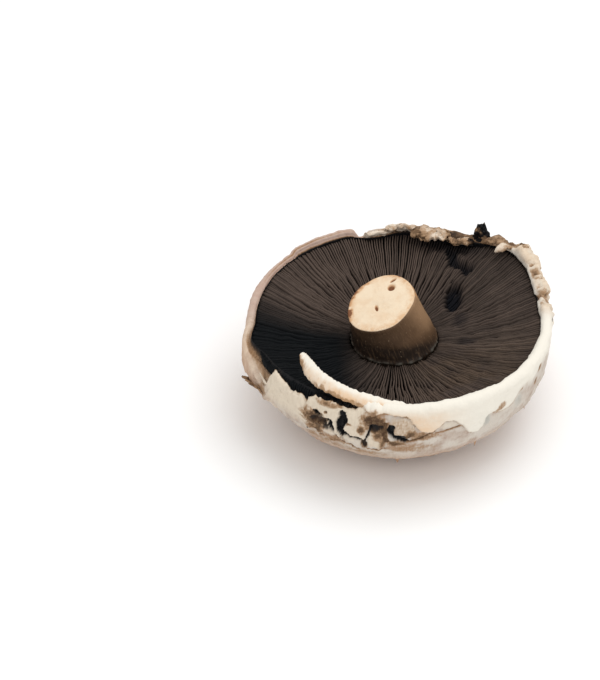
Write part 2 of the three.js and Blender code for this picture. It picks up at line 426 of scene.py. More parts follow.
@dataclass(frozen=True)
class SkinFinish:
    """The cap's skin, its white rolled rim and its torn, stained flesh, with painted shade in its hollows."""

    pale_skin: tuple = (0.64, 0.58, 0.51)
    pink_skin: tuple = (0.38, 0.255, 0.19)
    skin_tan: tuple = (0.50, 0.31, 0.20)
    skin_light: tuple = (0.68, 0.50, 0.36)
    scale_brown: tuple = (0.30, 0.155, 0.085)
    crown_brown: tuple = (0.40, 0.215, 0.12)
    crack_brown: tuple = (0.10, 0.035, 0.02)
    flesh_cream: tuple = (0.74, 0.64, 0.51)
    rim_white: tuple = (0.80, 0.755, 0.665)
    peach: tuple = (0.75, 0.47, 0.25)
    stain_ochre: tuple = (0.33, 0.18, 0.08)
    stain_brown: tuple = (0.055, 0.024, 0.011)
    stain_olive: tuple = (0.17, 0.105, 0.055)
    rim_tan: tuple = (0.50, 0.35, 0.285)
    rot_and_shade_black: tuple = (0.006, 0.006, 0.007)
    wet_grey: tuple = (0.40, 0.41, 0.37)

    def material(self) -> bpy.types.Material:
        """Builds the material. It reads the masks that the skin's meshes carry.

        Returns:
            The material.
        """
        shader = Shader("mushroom_skin")
        grain = shader.attribute("grain", "Vector")
        place = shader.place()
        fibre = shader.noise(grain, 0.55, 4, 0.6)
        streak = shader.noise(grain, 1.7, 3, 0.55, 0.4)
        cloud = shader.noise(place, 0.009, 4, 0.6)
        speck = shader.noise(place, 0.0011, 4, 0.65)

        skin = self.skin(shader, fibre, streak, cloud)
        colour = self.rim(shader, skin, fibre, cloud, speck)
        # This mask holds real stains and also painted shade: inside the rim, along the band's step, under the
        # lump and low on the wall.
        stain = shader.attribute("stain")
        blotch = stain + ((speck - 0.5) * 1.9 + (fibre - 0.5) * 1.1) * stain.lowest(0.6)
        colour = shader.blend(shader.ease(blotch, 0.02, 0.45) * 0.85, colour, self.stain_ochre)
        deep = shader.blend(shader.ease(speck + fibre * 0.6, 0.65, 1.05), self.stain_brown, self.stain_olive)
        colour = shader.blend(shader.ease(blotch, 0.38, 0.85) * 0.94, colour, deep)
        # This mask blackens rotten spots and also paints shade inside the rim and under the lump.
        rot = shader.attribute("rot")
        blackness = shader.ease(rot + (speck - 0.5) * 0.5 * rot, 0.25, 0.75)
        colour = shader.blend(blackness, colour, self.rot_and_shade_black)

        relief = shader.bump(fibre * (1 - shader.attribute("band") * 0.85), 0.0007, 0.6)
        relief = shader.bump(speck, 0.0004, 0.5, relief)
        roughness = 0.72 - blackness * 0.3 - shader.attribute("grey") * 0.25
        return shader.finish(colour, roughness, relief, Specular_IOR_Level=0.16)

    def skin(self, shader: Shader, fibre: Wire, streak: Wire, cloud: Wire) -> Wire:
        """The colour of the cap's skin, pale at the front and scaly brown outside and under it.

        Args:
            shader: The material's shader.
            fibre: Fine noise along the fibres.
            streak: Broad noise along the fibres.
            cloud: Broad noise.

        Returns:
            The colour.
        """
        outside, crown = shader.attribute("outside"), shader.attribute("crown")
        skin = shader.blend(shader.ease(cloud, 0.42, 0.74), self.pale_skin, self.pink_skin)
        skin = shader.blend(shader.ease(streak, 0.35, 0.7) * 0.45, skin, self.pale_skin)
        lit = shader.ease(streak + fibre * 0.4, 0.5, 0.95)
        skin = shader.blend(outside, skin, shader.blend(lit, self.skin_tan, self.skin_light))
        skin = shader.blend(crown * shader.ease(cloud, 0.3, 0.6), skin, self.crown_brown)
        scale = shader.attribute("scale") * shader.ease(streak + fibre * 0.6, 0.62, 0.98)
        skin = shader.blend(scale * 0.9, skin, self.scale_brown)
        patch = shader.noise(shader.place(), 0.0045, 4, 0.6, 0.8)
        broken = shader.ease(patch + fibre * 0.25, 0.66, 0.8) * outside
        skin = shader.blend(broken * (0.25 + crown * 0.6), skin, self.crack_brown)
        healed = shader.ease(patch, 0.40, 0.30) * outside
        skin = shader.blend(healed * 0.55, skin, self.skin_light)
        tan = shader.attribute("tan") * (0.6 + shader.ease(streak, 0.3, 0.7) * 0.4)
        return shader.blend(tan, skin, self.rim_tan)

    def rim(self, shader: Shader, skin: Wire, fibre: Wire, cloud: Wire, speck: Wire) -> Wire:
        """Lays the bare flesh, the wet patches and the white rolled rim over the skin's colour.

        Args:
            shader: The material's shader.
            skin: The skin's colour.
            fibre: Fine noise along the fibres.
            cloud: Broad noise.
            speck: Fine noise.

        Returns:
            The colour.
        """
        band = shader.attribute("band")
        colour = shader.blend(shader.attribute("flesh"), skin, self.flesh_cream)
        colour = shader.blend(shader.attribute("grey") * 0.75, colour, self.wet_grey)
        colour = shader.blend(band, colour, self.rim_white)
        peach = shader.attribute("peach") * (0.45 + 0.55 * shader.ease(cloud + speck * 0.3, 0.4, 0.85))
        colour = shader.blend(peach * 0.85, colour, self.peach)
        return shader.blend(shader.ease(fibre, 0.5, 0.8) * (1 - band * 0.85) * 0.2, colour, self.stain_ochre)


@dataclass(frozen=True)
class GillFinish:
    """The gills: dark brown; their paler edges are partly painted highlight, and painted shade darkens the
    grooves and the left side.
    """

    groove: tuple = (0.012, 0.0095, 0.0085)
    side: tuple = (0.040, 0.029, 0.024)
    edge: tuple = (0.100, 0.073, 0.059)
    bruise: tuple = (0.008, 0.009, 0.012)
    warm_edge: tuple = (0.106, 0.074, 0.053)
    wet_black: tuple = (0.0045, 0.006, 0.0072)
    shadow: tuple = (0.008, 0.008, 0.008)

    def material(self) -> bpy.types.Material:
        """Builds the material, which reads how near each point is to a free edge.

        Returns:
            The material.
        """
        shader = Shader("mushroom_gills")
        place = shader.place()
        cloud = shader.noise(place, 0.011, 3, 0.55)
        speck = shader.noise(place, 0.0012, 3, 0.6)
        crest = shader.attribute("crest")
        # Painted shade: the blades go near black towards their feet, between their neighbours; the pale
        # crests are partly painted highlight.
        colour = shader.blend(shader.ease(crest, 0.25, 0.75), self.groove, self.side)
        warmth = shader.attribute("warm") * shader.ease(cloud, 0.3, 0.6)
        edge = shader.blend(warmth, self.edge, self.warm_edge)
        colour = shader.blend(shader.ease(crest, 0.7, 1.0), colour, edge)
        streak = shader.noise(shader.attribute("grain", "Vector"), 1.0, 3, 0.55)
        # Painted light and shade: besides each blade's own tone, the per-blade attribute lightens the gills
        # round 112 degrees and darkens them round 32 degrees.
        tone = 0.11 + cloud * 0.45 + streak * 0.35 + shader.attribute("own") * 0.55 + (speck - 0.5) * 0.4
        colour = shader.blend(tone.lowest(1.0), self.shadow, colour)
        # Painted shadow: the gills on the left are darkened to near black.
        colour = shader.blend(shader.attribute("wet") * 0.98, colour, self.wet_black)
        colour = shader.blend(shader.attribute("bruise"), colour, self.bruise)
        relief = shader.bump(speck, 0.0002, 0.4)
        return shader.finish(colour, 0.62, relief, Specular_IOR_Level=0.05)


@dataclass(frozen=True)
class StemFinish:
    """The stem: cream where it is cut, tan to dark brown down its side, the dark partly painted shade."""

    cut_cream: tuple = (0.78, 0.64, 0.47)
    cut_tan: tuple = (0.66, 0.43, 0.25)
    side_light: tuple = (0.42, 0.31, 0.20)
    side_tan: tuple = (0.31, 0.185, 0.10)
    side_brown: tuple = (0.105, 0.058, 0.030)
    side_dark: tuple = (0.018, 0.011, 0.0075)
    stain_light: tuple = (0.56, 0.30, 0.14)
    stain: tuple = (0.16, 0.055, 0.022)
    fuzz: tuple = (0.13, 0.12, 0.10)

    def material(self) -> bpy.types.Material:
        """Builds the material, which reads the stem's masks.

        Returns:
            The material.
        """
        shader = Shader("mushroom_stem")
        place = shader.place()
        grain = shader.attribute("grain", "Vector")
        fibre = shader.noise(grain, 0.6, 4, 0.6)
        cloud = shader.noise(place, 0.005, 4, 0.6)
        speck = shader.noise(place, 0.0009, 4, 0.65)
        # The dark mask paints shade down one side of the stem and towards its foot, where spore stain adds to
        # it.
        dark = shader.attribute("dark") + (cloud - 0.5) * 0.25 + (fibre - 0.5) * 0.12
        side = shader.blend(shader.ease(dark, 0.0, 0.55), self.side_tan, self.side_brown)
        side = shader.blend(shader.ease(dark, 0.4, 1.0), side, self.side_dark)
        side = shader.blend(shader.ease(fibre, 0.5, 0.75) * 0.2, side, self.side_tan)
        side = shader.blend(shader.ease(speck, 0.63, 0.74) * 0.5, side, self.side_light)
        side = shader.blend(shader.attribute("fuzz"), side, self.fuzz)
        cut = shader.blend(shader.ease(cloud, 0.4, 0.75) * 0.35, self.cut_cream, self.cut_tan)
        cut = shader.blend(shader.ease(speck, 0.5, 0.8) * 0.25, cut, self.cut_tan)
        browned = shader.attribute("edge") * shader.ease(cloud + speck, 0.7, 1.2)
        cut = shader.blend(browned, cut, self.cut_tan)
        colour = shader.blend(shader.ease(shader.attribute("cut") + (cloud - 0.5) * 0.5, 0.2, 0.8), side, cut)
        stain = shader.attribute("stain")
        patchy = shader.ease(stain + (speck - 0.5) * 0.6 * stain, 0.15, 0.9)
        colour = shader.blend(shader.ease(stain, 0.05, 0.5) * 0.8, colour, self.stain_light)
        colour = shader.blend(shader.ease(patchy, 0.25, 1.0) * 0.9, colour, self.stain)
        relief = shader.bump(fibre, 0.0003, 0.4)
        relief = shader.bump(speck, 0.0002, 0.3, relief)
        return shader.finish(colour, 0.6, relief, Specular_IOR_Level=0.14)


@dataclass
class Piece:
    """A mesh on its way to being a finished piece of the mushroom."""

    name: str
    slot: Slot
    mesh: bpy.types.Mesh = field(init=False)

    def take(self, bm: bmesh.types.BMesh) -> Array:
        """Turns a closed bmesh into the piece's mesh.

        Args:
            bm: The mesh, in millimetres; it is freed.

        Returns:
            One row of x, y, z for each vertex.
        """
        bmesh.ops.recalc_face_normals(bm, faces=bm.faces)
        self.mesh = bpy.data.meshes.new(self.name)
        bm.to_mesh(self.mesh)
        bm.free()
        flat = np.empty(len(self.mesh.vertices) * 3)
        self.mesh.vertices.foreach_get("co", flat)
        return flat.reshape(-1, 3)

    def move(self, points: Array) -> None:
        """Puts the vertices where points says, in millimetres."""
        self.mesh.vertices.foreach_set("co", (points * MM).ravel())
        self.mesh.update()

    def read(self, name: str) -> Array:
        """Reads a number stored at each vertex.

        Args:
            name: The attribute's name.

        Returns:
            One number for each vertex.
        """
        values = np.empty(len(self.mesh.vertices))
        self.mesh.attributes[name].data.foreach_get("value", values)
        return values

    def mask(self, **masks: Array | float) -> None:
        """Stores numbers at each vertex for the material to read.

        Args:
            masks: Numbers from 0 to 1, by name: one for each vertex, or one for all.
        """
        for name, values in masks.items():
            store = self.mesh.attributes.get(name) or self.mesh.attributes.new(name, "FLOAT", "POINT")
            spread = np.broadcast_to(values, len(self.mesh.vertices))
            store.data.foreach_set("value", np.clip(spread, 0, 1).astype(np.float32))

    def mask_skin(self, **masks: Array | float) -> None:
        """Stores the masks that the skin's finish reads; those that aren't given are 0."""
        self.mask(**{**dict.fromkeys(SKIN_MASKS, 0.0), **masks})

    def set_grain(self, vectors: Array) -> None:
        """Stores the coordinates that fibres follow."""
        store = self.mesh.attributes.new("grain", "FLOAT_VECTOR", "POINT")
        store.data.foreach_set("vector", vectors.astype(np.float32).ravel())

    def finish(self, material: bpy.types.Material, node: str | None = None) -> bpy.types.Object:
        """Makes the object, dresses it and rides it on the mushroom's one body.

        Args:
            material: The finish.
            node: The CAD node that the piece stands for, if any.

        Returns:
            The object.
        """
        self.mesh.shade_smooth()
        self.mesh.materials.append(material)
        piece = bpy.data.objects.new(self.name, self.mesh)
        bpy.context.scene.collection.objects.link(piece)
        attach(piece, "root")
        if node is not None:
            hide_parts(node)
        return piece


@dataclass(frozen=True)
class Mark:
    """A pit, lump or stain on the wall: an oval at an angle and a depth under the rim."""

    angle: float
    depth: float
    half_width: float
    half_height: float
    slant: float = 0.0
    push: float = 0.0
    stain: float = 0.0
    rot: float = 0.0
    flesh: float = 0.0
    grey: float = 0.0
    hard: float = 0.45

    def cover(self, theta: Array, depth: Array, radius: float, ragged: Array) -> Array:
        """How far the mark covers each point.

        Args:
            theta: Angles in degrees.
            depth: Depths under the rim.
            radius: The wall's radius.
            ragged: Noise that makes the outline uneven.

        Returns:
            1 inside the mark, falling to 0 outside it.
        """
        across = np.radians(turned_by(theta, self.angle)) * radius
        down = depth - self.depth
        lean = math.radians(self.slant)
        u = (across * math.cos(lean) + down * math.sin(lean)) / self.half_width
        v = (down * math.cos(lean) - across * math.sin(lean)) / self.half_height
        return 1 - smooth(np.hypot(u, v) + 0.25 * ragged, self.hard, 1.0)


@dataclass(frozen=True)
class Crack:
    """A crack or a fold along a few points of angle and depth under the rim."""

    points: Pairs
    half_width: float
    push: float = 0.0
    stain: float = 0.0
    rot: float = 0.0
    flesh: float = 0.0
    grey: float = 0.0

    def cover(self, theta: Array, depth: Array, radius: float, ragged: Array) -> Array:
        """How far the crack covers each point.

        Args:
            theta: Angles in degrees.
            depth: Depths under the rim.
            radius: The wall's radius.
            ragged: Noise that makes the outline uneven.

        Returns:
            1 along the crack's middle, falling to 0 beside it.
        """
        nearest = np.full(len(theta), 1e6)
        for (angle, start), (next_angle, end) in zip(self.points, self.points[1:]):
            way = np.array([np.radians(next_angle - angle) * radius, end - start])
            across = np.radians(turned_by(theta, angle)) * radius
            share = np.clip((across * way[0] + (depth - start) * way[1]) / (way @ way), 0, 1)
            nearest = np.minimum(nearest, np.hypot(across - share * way[0], depth - start - share * way[1]))
        return 1 - smooth(nearest + 0.3 * self.half_width * ragged, 0.3 * self.half_width, self.half_width)


TORN_EDGE: Pairs = (
    (99.5, 0), (100.5, 1.2), (102, 3), (104, 3.2), (105.2, 1), (106.5, 0), (133.4, 0), (134.6, 1.5),
    (160, 1.4), (172, 0.6), (180, 1.5), (190, 3), (196, 6), (201, 11), (206, 13.5), (209, 11.5),
    (211.5, 7.0), (213.0, 2.9), (214.6, 1.5), (216.4, 1.5), (218.4, 2.8), (221.5, 3.8), (225, 5.2),
    (228.5, 4.9), (231.2, 4.8), (232.2, 7.2), (233.4, 4.4), (237.5, 2.6), (240, 2.8), (244.5, 2.2),
    (249, 3.2), (253.5, 3.4), (256, 1.6), (259, 0),
)
BAND_EDGE: Pairs = (
    (254, -2), (255, 0.2), (257.5, 0.4), (261.5, 2.2), (265.5, 1.2), (268.5, 1.4), (272, 2.6), (274, 2.2),
    (276, 4.5), (277.5, 7.4), (279.5, 9.4), (282, 10.2), (284.5, 9.6), (286.5, 7.5), (289, 6.0), (291.5, 6.1),
    (293.5, 7.6), (295.5, 10.1), (298.5, 14.3), (300.5, 15.7), (303, 16.1), (304.6, 14.5), (306, 8.6),
    (308.5, 8.8), (311, 10.2), (314, 11.0), (317, 10.8), (320, 8.2), (322.5, 5.6), (326, 5.2), (330, 6.8),
    (334.5, 5.6), (340, 4.6), (350, 6), (360, 8),
)
FAR_BAND_EDGE: Pairs = (
    (0, 8), (10, 6), (12, 3.5), (14, 5.5), (30, 6), (42, 5), (48, 2), (52, -2),
)
WALL_MARKS: tuple[Mark | Crack, ...] = (
    # The rot on the left: a blue-black pit over a brown torn hollow
    Mark(236.8, 12.6, 8.2, 7.0, stain=1.0, hard=0.12),
    Mark(239.0, 10.6, 4.8, 3.4, rot=0.62, hard=0.0),
    Mark(235.6, 12.6, 2.4, 1.8, push=-0.7, rot=0.6, hard=0.0),
    Mark(241.4, 14.6, 2.6, 2.6, push=-0.8, rot=0.66, hard=0.0),
    Mark(237.4, 16.0, 2.2, 1.5, push=-0.6, rot=0.5, hard=0.0),
    Mark(236.0, 18.0, 7.6, 3.6, stain=0.85, hard=0.0),
    Mark(243.0, 3.4, 9.0, 1.8, stain=0.7, hard=0.0),
    Mark(237.6, 9.0, 2.1, 1.4, push=-2.4, rot=1.0),
    Mark(239.2, 12.2, 4.2, 2.5, slant=12, push=-1.5, stain=1.0, rot=0.5, hard=0.3),
    Mark(242.0, 7.3, 0.9, 0.8, push=-0.5, stain=0.9),
    # The slanted slot and the tall one beside it
    Mark(243.7, 12.8, 1.4, 4.0, slant=-16, push=-2.6, rot=1.0, hard=0.6),
    Mark(249.5, 7.2, 1.9, 3.6, slant=-8, push=-2.8, rot=1.0, hard=0.7),
    Mark(247.8, 13.4, 1.7, 5.0, slant=-6, push=-2.8, rot=1.0, hard=0.7),
    Mark(248.7, 10.4, 1.8, 3.0, push=-2.8, rot=1.0, hard=0.7),
    Mark(249.6, 15.4, 2.4, 1.3, push=-2.4, rot=1.0, hard=0.5),
    Mark(245.8, 18.4, 0.6, 1.8, slant=-12, push=-1.0, rot=0.8),
    Mark(251.4, 9.8, 2.2, 1.1, stain=0.9, hard=0.1),
    Mark(256.6, 11.3, 2.4, 2.8, stain=0.95, hard=0.1),
    Mark(253.0, 6.4, 3.6, 4.0, push=0.7, flesh=0.9, hard=0.5),
    Mark(253.2, 13.2, 3.4, 2.4, push=0.4, flesh=0.9, hard=0.6),
    Crack(((249, 15.1), (252, 16.2), (255.5, 16.4), (257.4, 16.9)), 1.0, push=-1.8, rot=1.0),
    Crack(((260.4, 9.6), (259.5, 12.9), (258, 16.3)), 0.6, push=-1.2, rot=0.85),
    Mark(257.3, 19.2, 1.35, 3.2, push=-1.6, rot=0.6, stain=0.9, hard=0.7),
    # The pale panel between the cracks and the lump, and the brown flesh over it
    Mark(262.4, 15.2, 3.7, 6.2, push=0.6, flesh=0.95, hard=0.75),
    Mark(263.4, 12.6, 3.8, 4.4, stain=0.85, hard=0.0),
    Mark(265.0, 17.0, 2.2, 5.0, stain=0.75, hard=0.0),
    Crack(((258.6, 21.8), (262, 21.6), (266, 20.8)), 0.6, push=-0.6, stain=0.9),
    Mark(262.0, 7.0, 7.0, 6.6, stain=1.0, hard=0.3),
    Mark(261.6, 4.2, 3.6, 2.4, stain=0.6, hard=0.2),
    Mark(262.0, 9.0, 4.4, 2.0, push=-1.3, stain=1.0, rot=0.66, hard=0.35),
    # The rounded lump, with the black hollow that it overhangs
    # The black in the hollow under the lump and the brown below and right of it are partly painted shade.
    Mark(272.2, 8.0, 5.4, 5.5, push=1.5, flesh=0.75, stain=0.24, hard=0.66),
    Mark(275.4, 11.0, 4.2, 3.8, stain=0.85, hard=0.0),
    Mark(271.4, 12.0, 2.6, 2.2, push=-1.2, rot=0.9, hard=0.2),
    Crack(
        ((268.4, 7.6), (267.6, 10.2), (268.6, 12.4), (270.6, 14.2), (273.8, 15.2)),
        1.55,
        push=-2.6,
        rot=1.0,
    ),
    Crack(((266.2, 7.0), (265.4, 11.5), (266.4, 16.0)), 1.7, push=-0.6, stain=1.0),
    Mark(269.6, 17.0, 5.6, 2.6, slant=-8, stain=1.0, hard=0.0),
    Crack(((274.5, 15.8), (278.5, 14.8), (281.5, 13.2), (284.5, 10.6)), 0.8, push=-0.6, stain=0.95),
    Mark(280.4, 13.2, 8.0, 3.6, stain=0.72, hard=0.0),
    Crack(((285.5, 12.0), (291.5, 11.2), (295.0, 10.6)), 0.7, push=-0.4, stain=0.6),
    Mark(289.5, 8.6, 5.4, 2.0, slant=6, push=0.4, flesh=0.5, hard=0.3),
    # Darker low on the wall: partly stain, partly painted shade where the wall turns under.
    Mark(274.0, 20.0, 18.0, 5.5, stain=0.42, hard=0.0),
    Mark(256.0, 25.0, 20.0, 5.0, stain=0.36, hard=0.0),
    Mark(236.0, 25.0, 16.0, 5.5, stain=0.38, hard=0.0),
    Mark(244.0, 20.4, 10.0, 3.6, stain=0.55, hard=0.0),
    # Layers of skin peeled off low on the wall
    Crack(
        ((237, 21.5), (240, 22.6), (243.5, 22.6), (247.5, 20.6), (251, 20.9), (255, 22.6)),
        0.6,
        push=-0.7,
        stain=0.9,
    ),
    Crack(((238, 25.0), (241, 26.6), (245, 27.6), (250, 27.0)), 0.6, push=-0.7, stain=0.7),
    Crack(((232.5, 15.5), (235, 19.0), (240, 21.2)), 0.6, push=-0.4, stain=0.7),
    # Spots
    Mark(231.0, 9.4, 0.55, 0.55, rot=0.5),
    Mark(231.2, 20.6, 0.7, 0.8, push=0.5, rot=1.0),
    # Painted shade: a grey-brown hollow beside the splayed flake, over a shallow dent.
    Mark(204.5, 17.5, 4.5, 8.5, slant=24, push=-0.8, stain=0.5, grey=0.6, hard=0.15),
    Mark(307.0, 12.4, 2.1, 5.4, grey=0.9, hard=0.2),
    Mark(322.0, 11.0, 3.0, 6.0, slant=-10, grey=0.7, hard=0.1),
    Mark(312.4, 8.6, 3.2, 2.3, slant=-30, stain=0.42, hard=0.4),
    Mark(311.0, 9.4, 1.8, 1.5, stain=0.46, hard=0.3),
    Mark(336.5, 6.2, 2.4, 2.8, push=-0.4, stain=0.7, hard=0.0),
    Mark(334.0, 10.6, 1.9, 2.6, stain=0.8, hard=0.0),
    Mark(342.0, 5.0, 2.0, 1.8, stain=0.3, hard=0.0),
    Mark(359.4, 2.6, 0.8, 1.0, rot=1.0),
)


@dataclass
class SkinWork:
    """The skin's vertices while they are worked on."""

    ring: Array
    theta: Array
    radius: Array
    z: Array
    out: Array
    along: Array
    on_lip: Array
    inside: Array
    plain: Array
    torn: Array = field(init=False)
    ragged: Array = field(init=False)
    depth: Array = field(init=False)
    edge: Array = field(init=False)
    wobble: Array = field(init=False)
    patches: Array = field(init=False)
    grain: Array = field(init=False)
    lumps: Array = field(init=False)
    push: Array = field(init=False)
    masks: dict[str, Array] = field(default_factory=dict)

    def deepen(self, name: str, values: Array) -> None:
        """Raises a mask to the values where they are higher."""
        self.masks[name] = np.maximum(self.masks[name], values)


@dataclass
class CapSkin:
    """The cap from its crown to its lip, with the torn, pitted wall on the near side."""

    growth: Growth
    sectors: int = 480
    bed_points: int = 40
    crown_spacing: float = 1.0
    wall_spacing: float = 0.47
    hidden_spacing: float = 5.0
    fine_from: float = 9.0
    near_side: float = 264.0
    crowding: float = 0.38
    marks_up: float = 0.8
    deepest_push: float = -2.9
    lip_middle: float = 53.1
    lip_centre_height: float = 40.9
    lip_half_width: float = 1.75
    lip_rise: float = 1.9
    torn_lip_over_bed: float = 0.8
    inner_face_after: float = 1.5
    rot_spread: float = 2.6
    thin_lip_radius: float = 53.7
    groove_radius: float = 52.6
    scale_width: float = 4.6
    scale_length: float = 8.5
    torn_hump: tuple[float, float] = (226, 110)
    far_overhang_shade_hump: tuple[float, float] = (76, 66)
    thin_rim_hump: tuple[float, float] = (132, 84)
    peach_hump: tuple[float, float] = (272, 60)
    cleft_hump: tuple[float, float] = (11, 5)
    plain_front_hump: tuple[float, float] = (268, 190)
    scales_low_hump: tuple[float, float] = (270, 150)
    flesh_stretch: Stretch = Stretch(206, 213, 256, 262)
    rough_stretch: Stretch = Stretch(208, 214, 264, 272)
    tan_stretch: Stretch = Stretch(98, 106, 172, 188)
    lump_stretch: Stretch = Stretch(6, 14, 42, 50)
    brown_stretch: Stretch = Stretch(40, 47, 64, 74)
    pale_front: tuple[float, float, float] = (285, 60, 100)

    def section(self) -> Array:
        """The outline from the crown's middle, round the side, over the lip and down to the gill bed.

        Returns:
            Rows of radius and height, close together.
        """
        g = self.growth
        crown = [(r, 0.0) for r in np.linspace(0, g.rest_radius, 12)]
        wall = list(zip(*g.side(np.linspace(*g.side_turns, 300))))
        turns = np.radians(np.linspace(0, 180, 60))
        lip_radii = self.lip_middle + self.lip_half_width * np.cos(turns)
        lip_heights = self.lip_centre_height + self.lip_rise * np.sin(turns)
        radii = np.linspace(g.gill_outer + g.gap, 0, self.bed_points)
        bed = g.bed(np.minimum(radii, g.gill_outer)) - g.gap
        return np.array(crown + wall + list(zip(lip_radii, lip_heights)) + list(zip(radii, bed)))

    def rings(self) -> Array:
        """The section resampled: close together where there is much to show, far apart under the gills.

        Returns:
            Rows of radius and height.
        """
        dense = self.section()
        steps = np.hypot(*np.diff(dense, axis=0).T)
        middle = (dense[1:] + dense[:-1]) / 2
        under_gills = (middle[:, 1] < self.lip_centre_height) & (middle[:, 0] < self.growth.gill_outer)
        under_gills &= np.arange(len(middle)) > len(middle) - self.bed_points - 2
        spacing = np.where(middle[:, 1] < self.fine_from, self.crown_spacing, self.wall_spacing)
        spacing = np.where(under_gills, self.hidden_spacing, spacing)
        count = np.concatenate([[0], np.cumsum(steps / spacing)])
        marks = np.linspace(0, count[-1], int(count[-1]) + 1)
        return np.stack([np.interp(marks, count, dense[:, i]) for i in range(2)], axis=-1)

    def normals(self, rings: Array) -> Array:
        """The outward direction at each ring.

        Args:
            rings: Rows of radius and height.

        Returns:
            Rows of radius and height, each of length 1.
        """
        way = np.gradient(rings, axis=0)
        out = np.stack([way[:, 1], -way[:, 0]], axis=-1)
        return out / np.maximum(np.hypot(*out.T)[:, None], 1e-9)

    def survey(self, base: Array, ring: Array, rings: Array) -> SkinWork:
        """Works out where each vertex is on the skin.

        Args:
            base: The vertices as spun.
            ring: Each vertex's ring.
            rings: Rows of radius and height.

        Returns:
            The vertices, ready to be worked on.
        """
        g = self.growth
        numbers = np.arange(len(rings))
        way = np.concatenate([[0], np.cumsum(np.hypot(*np.diff(rings, axis=0).T))])
        radius, height = (np.interp(ring, numbers, rings[:, i]) for i in range(2))
        normals = self.normals(rings)
        out = np.stack([np.interp(ring, numbers, normals[:, i]) for i in range(2)], axis=-1)
        along = np.interp(ring, numbers, way)
        theta = np.degrees(np.arctan2(base[:, 1], base[:, 0]))
        theta = (theta - math.degrees(self.crowding) * np.sin(np.radians(theta - self.near_side))) % 360
        on_lip = (height > self.lip_centre_height - 0.1) & (radius > g.gill_outer)
        inside = (along > way[np.argmax(rings[:, 1])] + self.inner_face_after) & ~on_lip
        plain = g.place(radius, theta, height)
        return SkinWork(ring, theta, radius, height, out, along, on_lip, inside, plain)

    def tear(self, work: SkinWork) -> None:
        """Lowers the rim where it is torn and takes the noises that the later steps share.

        Args:
            work: The skin's vertices.
        """
        g = self.growth
        tear = along_stations(work.theta, TORN_EDGE)
        work.torn = smooth(tear, 0.2, 2.0) * bump(work.theta, *self.torn_hump)
        work.ragged = noise_at(work.plain, (1.6, 1.6, 5.0), 3)
        tear = tear + work.torn * (0.9 * work.ragged + 0.5 * noise_at(work.plain, 0.8, 2))
        lowered = work.z - np.where(work.inside, 0, tear * smooth(work.z, 18, 40))
        inner_side = (work.radius < self.lip_middle) & work.on_lip
        floor = float(g.bed(np.array(g.gill_outer))) + self.torn_lip_over_bed
        work.z = np.where(inner_side, np.maximum(lowered, floor), lowered)
        work.depth = g.rim_height - work.z
        work.wobble = noise_at(work.plain, 2.2, 3)
        work.patches = noise_at(work.plain, 2.6, 3)
        turn = np.radians(work.theta)
        circle = np.column_stack([np.cos(turn), np.sin(turn)])
        work.grain = np.column_stack([circle * g.cap_radius, work.along / 7])

    def colour_rim(self, work: SkinWork) -> None:
        """Sets out the white rolled band and the bare flesh of the torn wall.

        Args:
            work: The skin's vertices.
        """
        theta, depth, wobble = work.theta, work.depth, work.wobble
        near_edge, far_edge = along_stations(theta, BAND_EDGE), along_stations(theta, FAR_BAND_EDGE)
        work.edge = np.where(theta > 180, near_edge, far_edge) - 0.5 * self.marks_up
        softness = np.where(theta < 60, 0.9, 0.35 + 2.2 * smooth(theta, 305, 322))
        band = 1 - smooth(depth + 0.35 * wobble, work.edge - softness, work.edge + softness)
        flesh = (1 - smooth(depth + 1.6 * wobble, 11, 22)) * self.flesh_stretch.cover(theta)
        work.masks["band"] = np.where(work.inside, 0, band)
        work.masks["flesh"] = np.maximum(flesh, work.on_lip * smooth(theta, 100, 112) * 0.25)

    def wear(self, work: SkinWork) -> None:
        """Cuts the pits and cracks, raises the swellings and paints shade inside the rim, deepest where it is
        torn and under the far flakes.

        Args:
            work: The skin's vertices.
        """
        push = np.zeros(len(work.z))
        work.masks.update({name: np.zeros(len(work.z)) for name in ("stain", "rot", "grey")})
        for mark in WALL_MARKS:
            depth = work.depth + self.marks_up
            cover = mark.cover(work.theta, depth, self.growth.cap_radius, work.wobble) * ~work.inside
            push = push + mark.push * cover
            work.deepen("flesh", mark.flesh * cover)
            work.deepen("stain", mark.stain * cover)
            work.deepen("grey", mark.grey * cover)
            work.deepen("rot", mark.rot * (1 - (1 - cover) ** self.rot_spread))
        work.push = np.maximum(push, self.deepest_push)
        # Painted shade: the inner face of the rim, and the lip's inner side where torn and under the far
        # flakes, are darkened to brown and black and lose the band's white.
        inner = smooth(self.lip_middle + 0.6 - work.radius, 0, 1.0) * (work.on_lip | work.inside)
        torn_inside_shade = inner * np.maximum(work.torn, bump(work.theta, *self.far_overhang_shade_hump))
        rim_hollow_shade = np.maximum(work.inside * 1.0, torn_inside_shade)
        work.deepen("stain", rim_hollow_shade)
        work.deepen("rot", 0.75 * rim_hollow_shade)
        work.masks["band"] *= 1 - rim_hollow_shade

    def swell(self, work: SkinWork) -> Array:
        """Raises the rugged lumps on the right and far rim and browns their hollows, partly their own brown
        and partly painted shade.

        Args:
            work: The skin's vertices.

        Returns:
            How far each vertex moves out for it.
        """
        theta, z, patches = work.theta, work.z, work.patches
        lumps = np.clip(self.lump_stretch.cover(theta) + bump(theta, 4, 16), 0, 1)
        work.lumps = lumps * smooth(z, 33, 41) * smooth(work.out[:, 0], -1.1, -0.4) * ~work.inside
        work.deepen("flesh", work.lumps)
        work.masks["band"] = work.masks["band"] * (1 - 0.8 * work.lumps)
        knobs = 0.5 * noise_at(work.plain, 9.0, 2) + 0.5 * patches
        cleft = bump(theta, *self.cleft_hump) * smooth(z, 35, 41)
        dark_rim = self.brown_stretch.cover(theta) * smooth(z + 1.5 * work.wobble, 36, 41)
